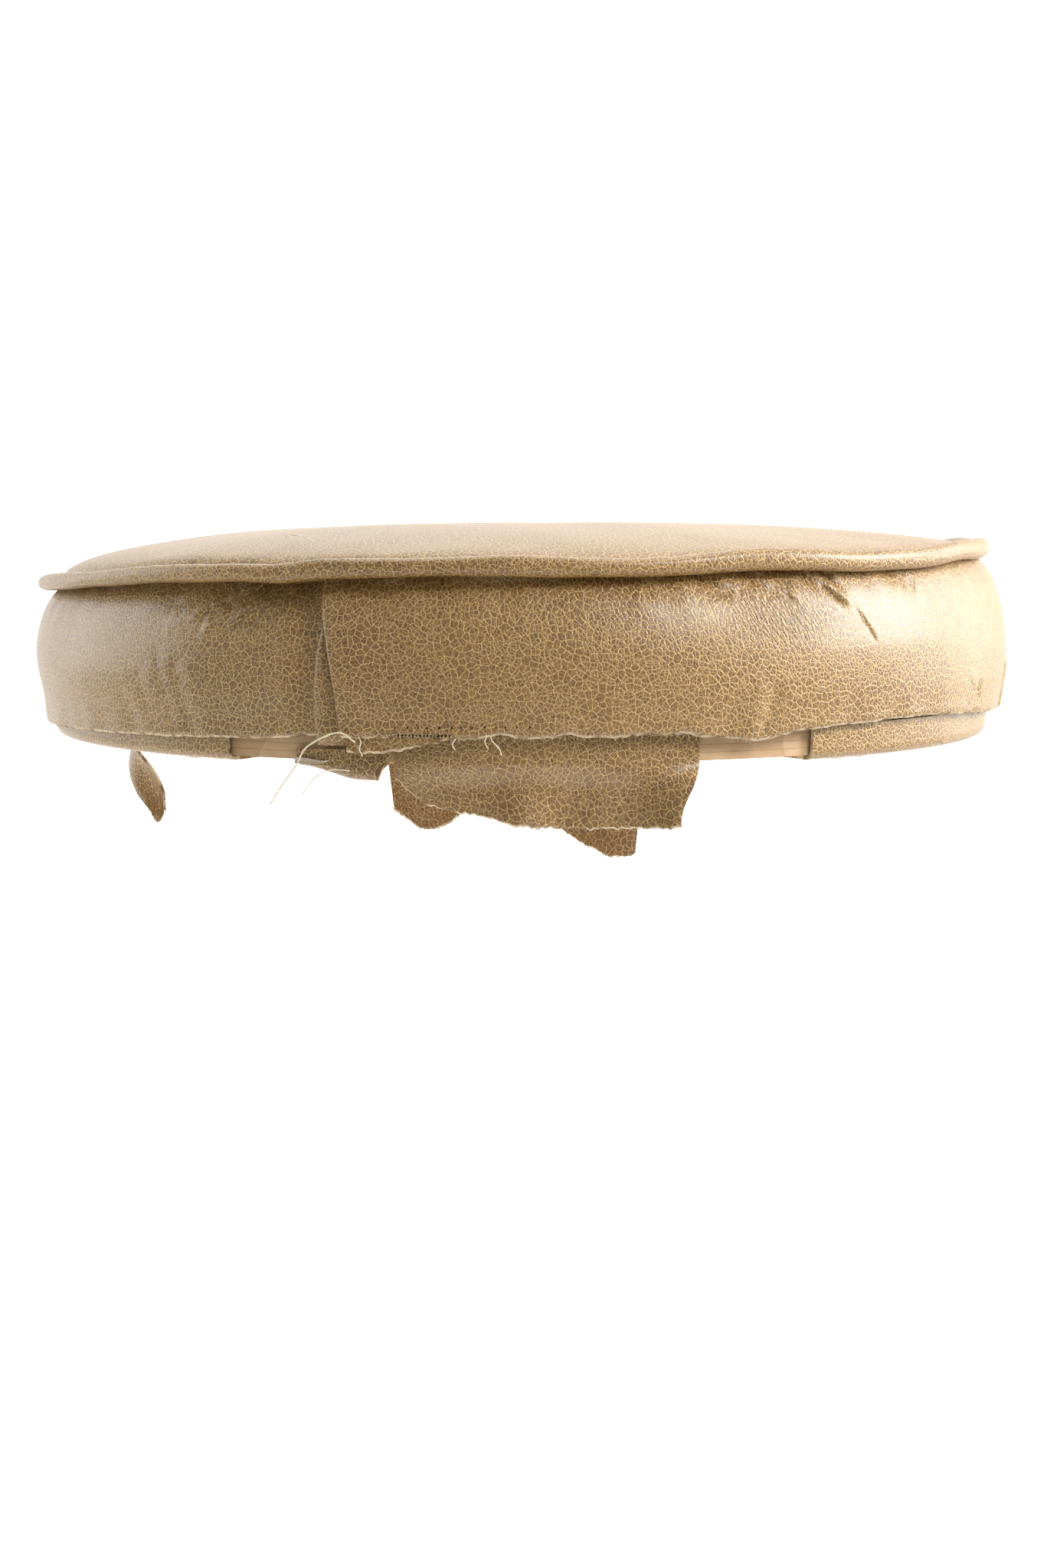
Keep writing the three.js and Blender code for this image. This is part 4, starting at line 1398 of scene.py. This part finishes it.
def hem_holes():
    spots = np.radians(np.arange(-16.6, 1.6, 1.09))
    spots = spots + np.radians(0.12) * np.sin(spots * 91)
    places, facings = on_band(spots, hem_z(spots) + 2.9 * MM, 0.0)
    set_on_points("needle_holes", hole_tree, places, facings, "pad", "vinyl",
                  Size=0.42 * MM, Unevenness=0.2, Seed=3, Finish=hole_shade_finish)
    spots = np.radians(np.arange(-17.0, -6.6, 0.36))
    places, facings = on_band(spots, hem_z(spots) + 0.5 * MM, 0.02 * MM)
    set_on_points("seam_perforations", hole_tree, places, facings, "pad", "vinyl",
                  Size=0.42 * MM, Unevenness=0.3, Seed=4, Finish=hole_shade_finish)


hem_holes()


# %% Frays along every torn edge
def along_torn_edge(grid, pitch, seed, lowest=0):
    """Points and directions along a grid's lowest column, a pitch apart and jittered."""
    chance = np.random.default_rng(seed)
    line = grid[:, lowest]
    run = run_along(line)
    at = np.arange(0, run[-1], pitch)
    jitter = chance.uniform(-0.5, 0.5, int(math.ceil(run[-1] / pitch)))
    at = np.clip(at + jitter * pitch, 0, run[-1])
    places = np.stack([np.interp(at, run, line[:, k]) for k in range(3)], axis=-1)
    inward = -grid_normals(grid)[:, lowest]
    inward = np.stack([np.interp(at, run, inward[:, k]) for k in range(3)], axis=-1)
    places = places + inward * chance.uniform(0.3, 1.0, (len(at), 1)) * SKIN_T
    facings = np.tile((0.0, 0.0, -1.0), (len(at), 1)) - 0.35 * inward
    facings = facings + chance.normal(0, 0.35, facings.shape)
    return places, facings


def fringe(name, grids, body, seed, pitch=1.0 * MM, size=0.9 * MM):
    pieces = [along_torn_edge(grid, pitch, seed + k) for k, grid in enumerate(grids)]
    places, facings = (np.concatenate(parts) for parts in zip(*pieces))
    return set_on_points(name, fibre_tree, places, facings, body, "fibre", Size=size,
                         Unevenness=0.6, Seed=seed, Finish=thread_finish)


def torn_hem_line(first, last, drop=0.3):
    azimuth = np.radians(np.linspace(first, last, 60))
    rows = [on_band(azimuth, hem_z(azimuth) + lift * MM, 0.0)[0] for lift in (-drop, 1)]
    return np.stack(rows, axis=1)


fringe("hem_fibres", [torn_hem_line(-7.5, 19), torn_hem_line(21, 26)], "pad", 100)
fringes = [fringe(n + "_fibres", [g], n, 110 + 5 * k) for k, (n, g) in enumerate([
    ("front_flap", front_grid), ("left_flap", left_grid), ("right_flap", right_grid),
    ("side_flap", side_grid)])]

FLAPS = [(front_flap, 97, 0), (left_flap, 34, 1), (right_flap, 46, 2), (side_flap, 30, 3)]
for piece, across, number in FLAPS:
    on = ["side_band_cover"] if number == 0 else ["seat_board"]
    declare_sheet(piece, across * MM)


# %% Short ends of thread at the torn corner
def short_ends():
    routes = [
        [(-52, -168, -2.6), (-57.5, -169.5, -2.2), (-62.5, -170, -4.5), (-66.5, -169.4, -9.5)],
        [(-49, -172.6, 8.4), (-48.2, -173.6, 6.6), (-48.6, -174, 4.4), (-47.6, -174, 2.4)],
        [(-9, -176.6, 9.0), (-8.4, -177.6, 7.4), (-6.4, -177.8, 5.2), (-5.6, -177.4, 3.0)],
        [(-10, -176.6, 9.2), (-10.6, -177.4, 7.0), (-9.6, -177.6, 5.0)],
        [(-19.4, -175.6, 8.0), (-20.4, -176.6, 6.2), (-19.6, -176.8, 4.6)],
        [(-70.5, -157.6, 69.2), (-66, -160.5, 68.4), (-62.4, -163.2, 66.6)],
    ]
    for number, route in enumerate(routes, 1):
        path = through(np.array(route) * MM, 16)
        made = tube("thread_end_%d" % number, path, 0.18 * MM, thread_finish, 8, 0.4)
        belongs(made, "thread", "pad")


short_ends()

# %% [markdown]
# ## Finishes for the hard parts
#
# The board, the T-nuts and the staples are right as the CAD model makes them. They keep their
# meshes, and only take a finish.

# %% Board, T-nuts and staples
HARD = {"seat_board": board_finish, "t_nut": steel_finish, "staple": steel_finish}
for name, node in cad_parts.items():
    for start, finish in HARD.items():
        if name.startswith(start):
            for material_slot in node.material_slots:
                material_slot.material = finish
print("hard parts finished")

# %% [markdown]
# ## The room
#
# A floor that curves up into a wall gives an even white behind the seat. The seat is on a
# stand that isn't built, so the floor is well below it. A bright wall on each side lights the
# ends of the pad; the front gets only what comes round, so it is the darkest part.


# %% Floor and wall
def paper(name, emission):
    finish = Finish(name, Roughness=1.0, Specular_IOR_Level=0.1)
    finish.shader.inputs["Emission Color"].default_value = (1, 1, 1, 1)
    finish.shader.inputs["Emission Strength"].default_value = emission
    grain = finish.noise(finish.place(), 40, 2)
    return finish.surface(Base_Color=finish.mix(grain, (0.86, 0.86, 0.86, 1), (0.9, 0.9, 0.9, 1)))


def sweep():
    floor_z, wall_y, bend, half_width, top_z = -0.9, 1.6, 0.8, 2.6, 2.4
    section = [(-wall_y, floor_z), (wall_y - bend, floor_z)]
    section += [(wall_y - bend + bend * math.sin(a), floor_z + bend - bend * math.cos(a))
                for a in np.linspace(0, math.pi / 2, 16)[1:]]
    section.append((wall_y, top_z))
    points = [(x, y, z) for x in (-half_width, half_width) for y, z in section]
    faces = quads(2, len(section), flip=True)
    made = make_object("paper_sweep", points, faces, [paper("white_paper", 0.55)])
    made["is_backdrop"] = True


sweep()


# %% Lights
SEAT_MIDDLE = (0, 0, 0.03)


def softbox(name, place, side, watts):
    light = bpy.data.lights.new(name, "AREA")
    light.shape = "RECTANGLE"
    light.size, light.size_y = side, side
    light.energy = watts
    made = bpy.data.objects.new(name, light)
    made.location = place
    towards = Vector(SEAT_MIDDLE) - Vector(place)
    made.rotation_euler = towards.to_track_quat("-Z", "Y").to_euler()
    bpy.context.scene.collection.objects.link(made)


softbox("window_right", (1.0, -0.12, 0.42), 0.5, 13)
softbox("wall_right", (1.1, 0.35, 0.25), 0.8, 7)
softbox("window_front_right", (0.7, -0.75, 0.75), 0.35, 7.4)
softbox("wall_left", (-1.1, 0.2, 0.3), 0.9, 6.5)
softbox("ceiling", (0.1, 0.3, 1.3), 1.2, 10)

world = bpy.data.worlds.new("room")
bpy.context.scene.world = world
world.use_nodes = True
sky = world.node_tree.nodes["Background"]
sky.inputs["Color"].default_value = (1, 0.97, 0.92, 1)
sky.inputs["Strength"].default_value = 0.4

# %% [markdown]
# ## Last: the box
#
# How far the visual model's box reaches past the CAD box is printed. The visual model
# has to stay near the CAD box.

# %% Sizes
VISUAL_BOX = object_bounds()
boxes = {"cad": [list(corner) for corner in CAD_BOX],
         "visual": [list(corner) for corner in VISUAL_BOX]}
print("box grew by (mm):", [[round((v - c) / MM, 2) for v, c in zip(a, b)]
                            for a, b in zip(boxes["visual"], boxes["cad"])])
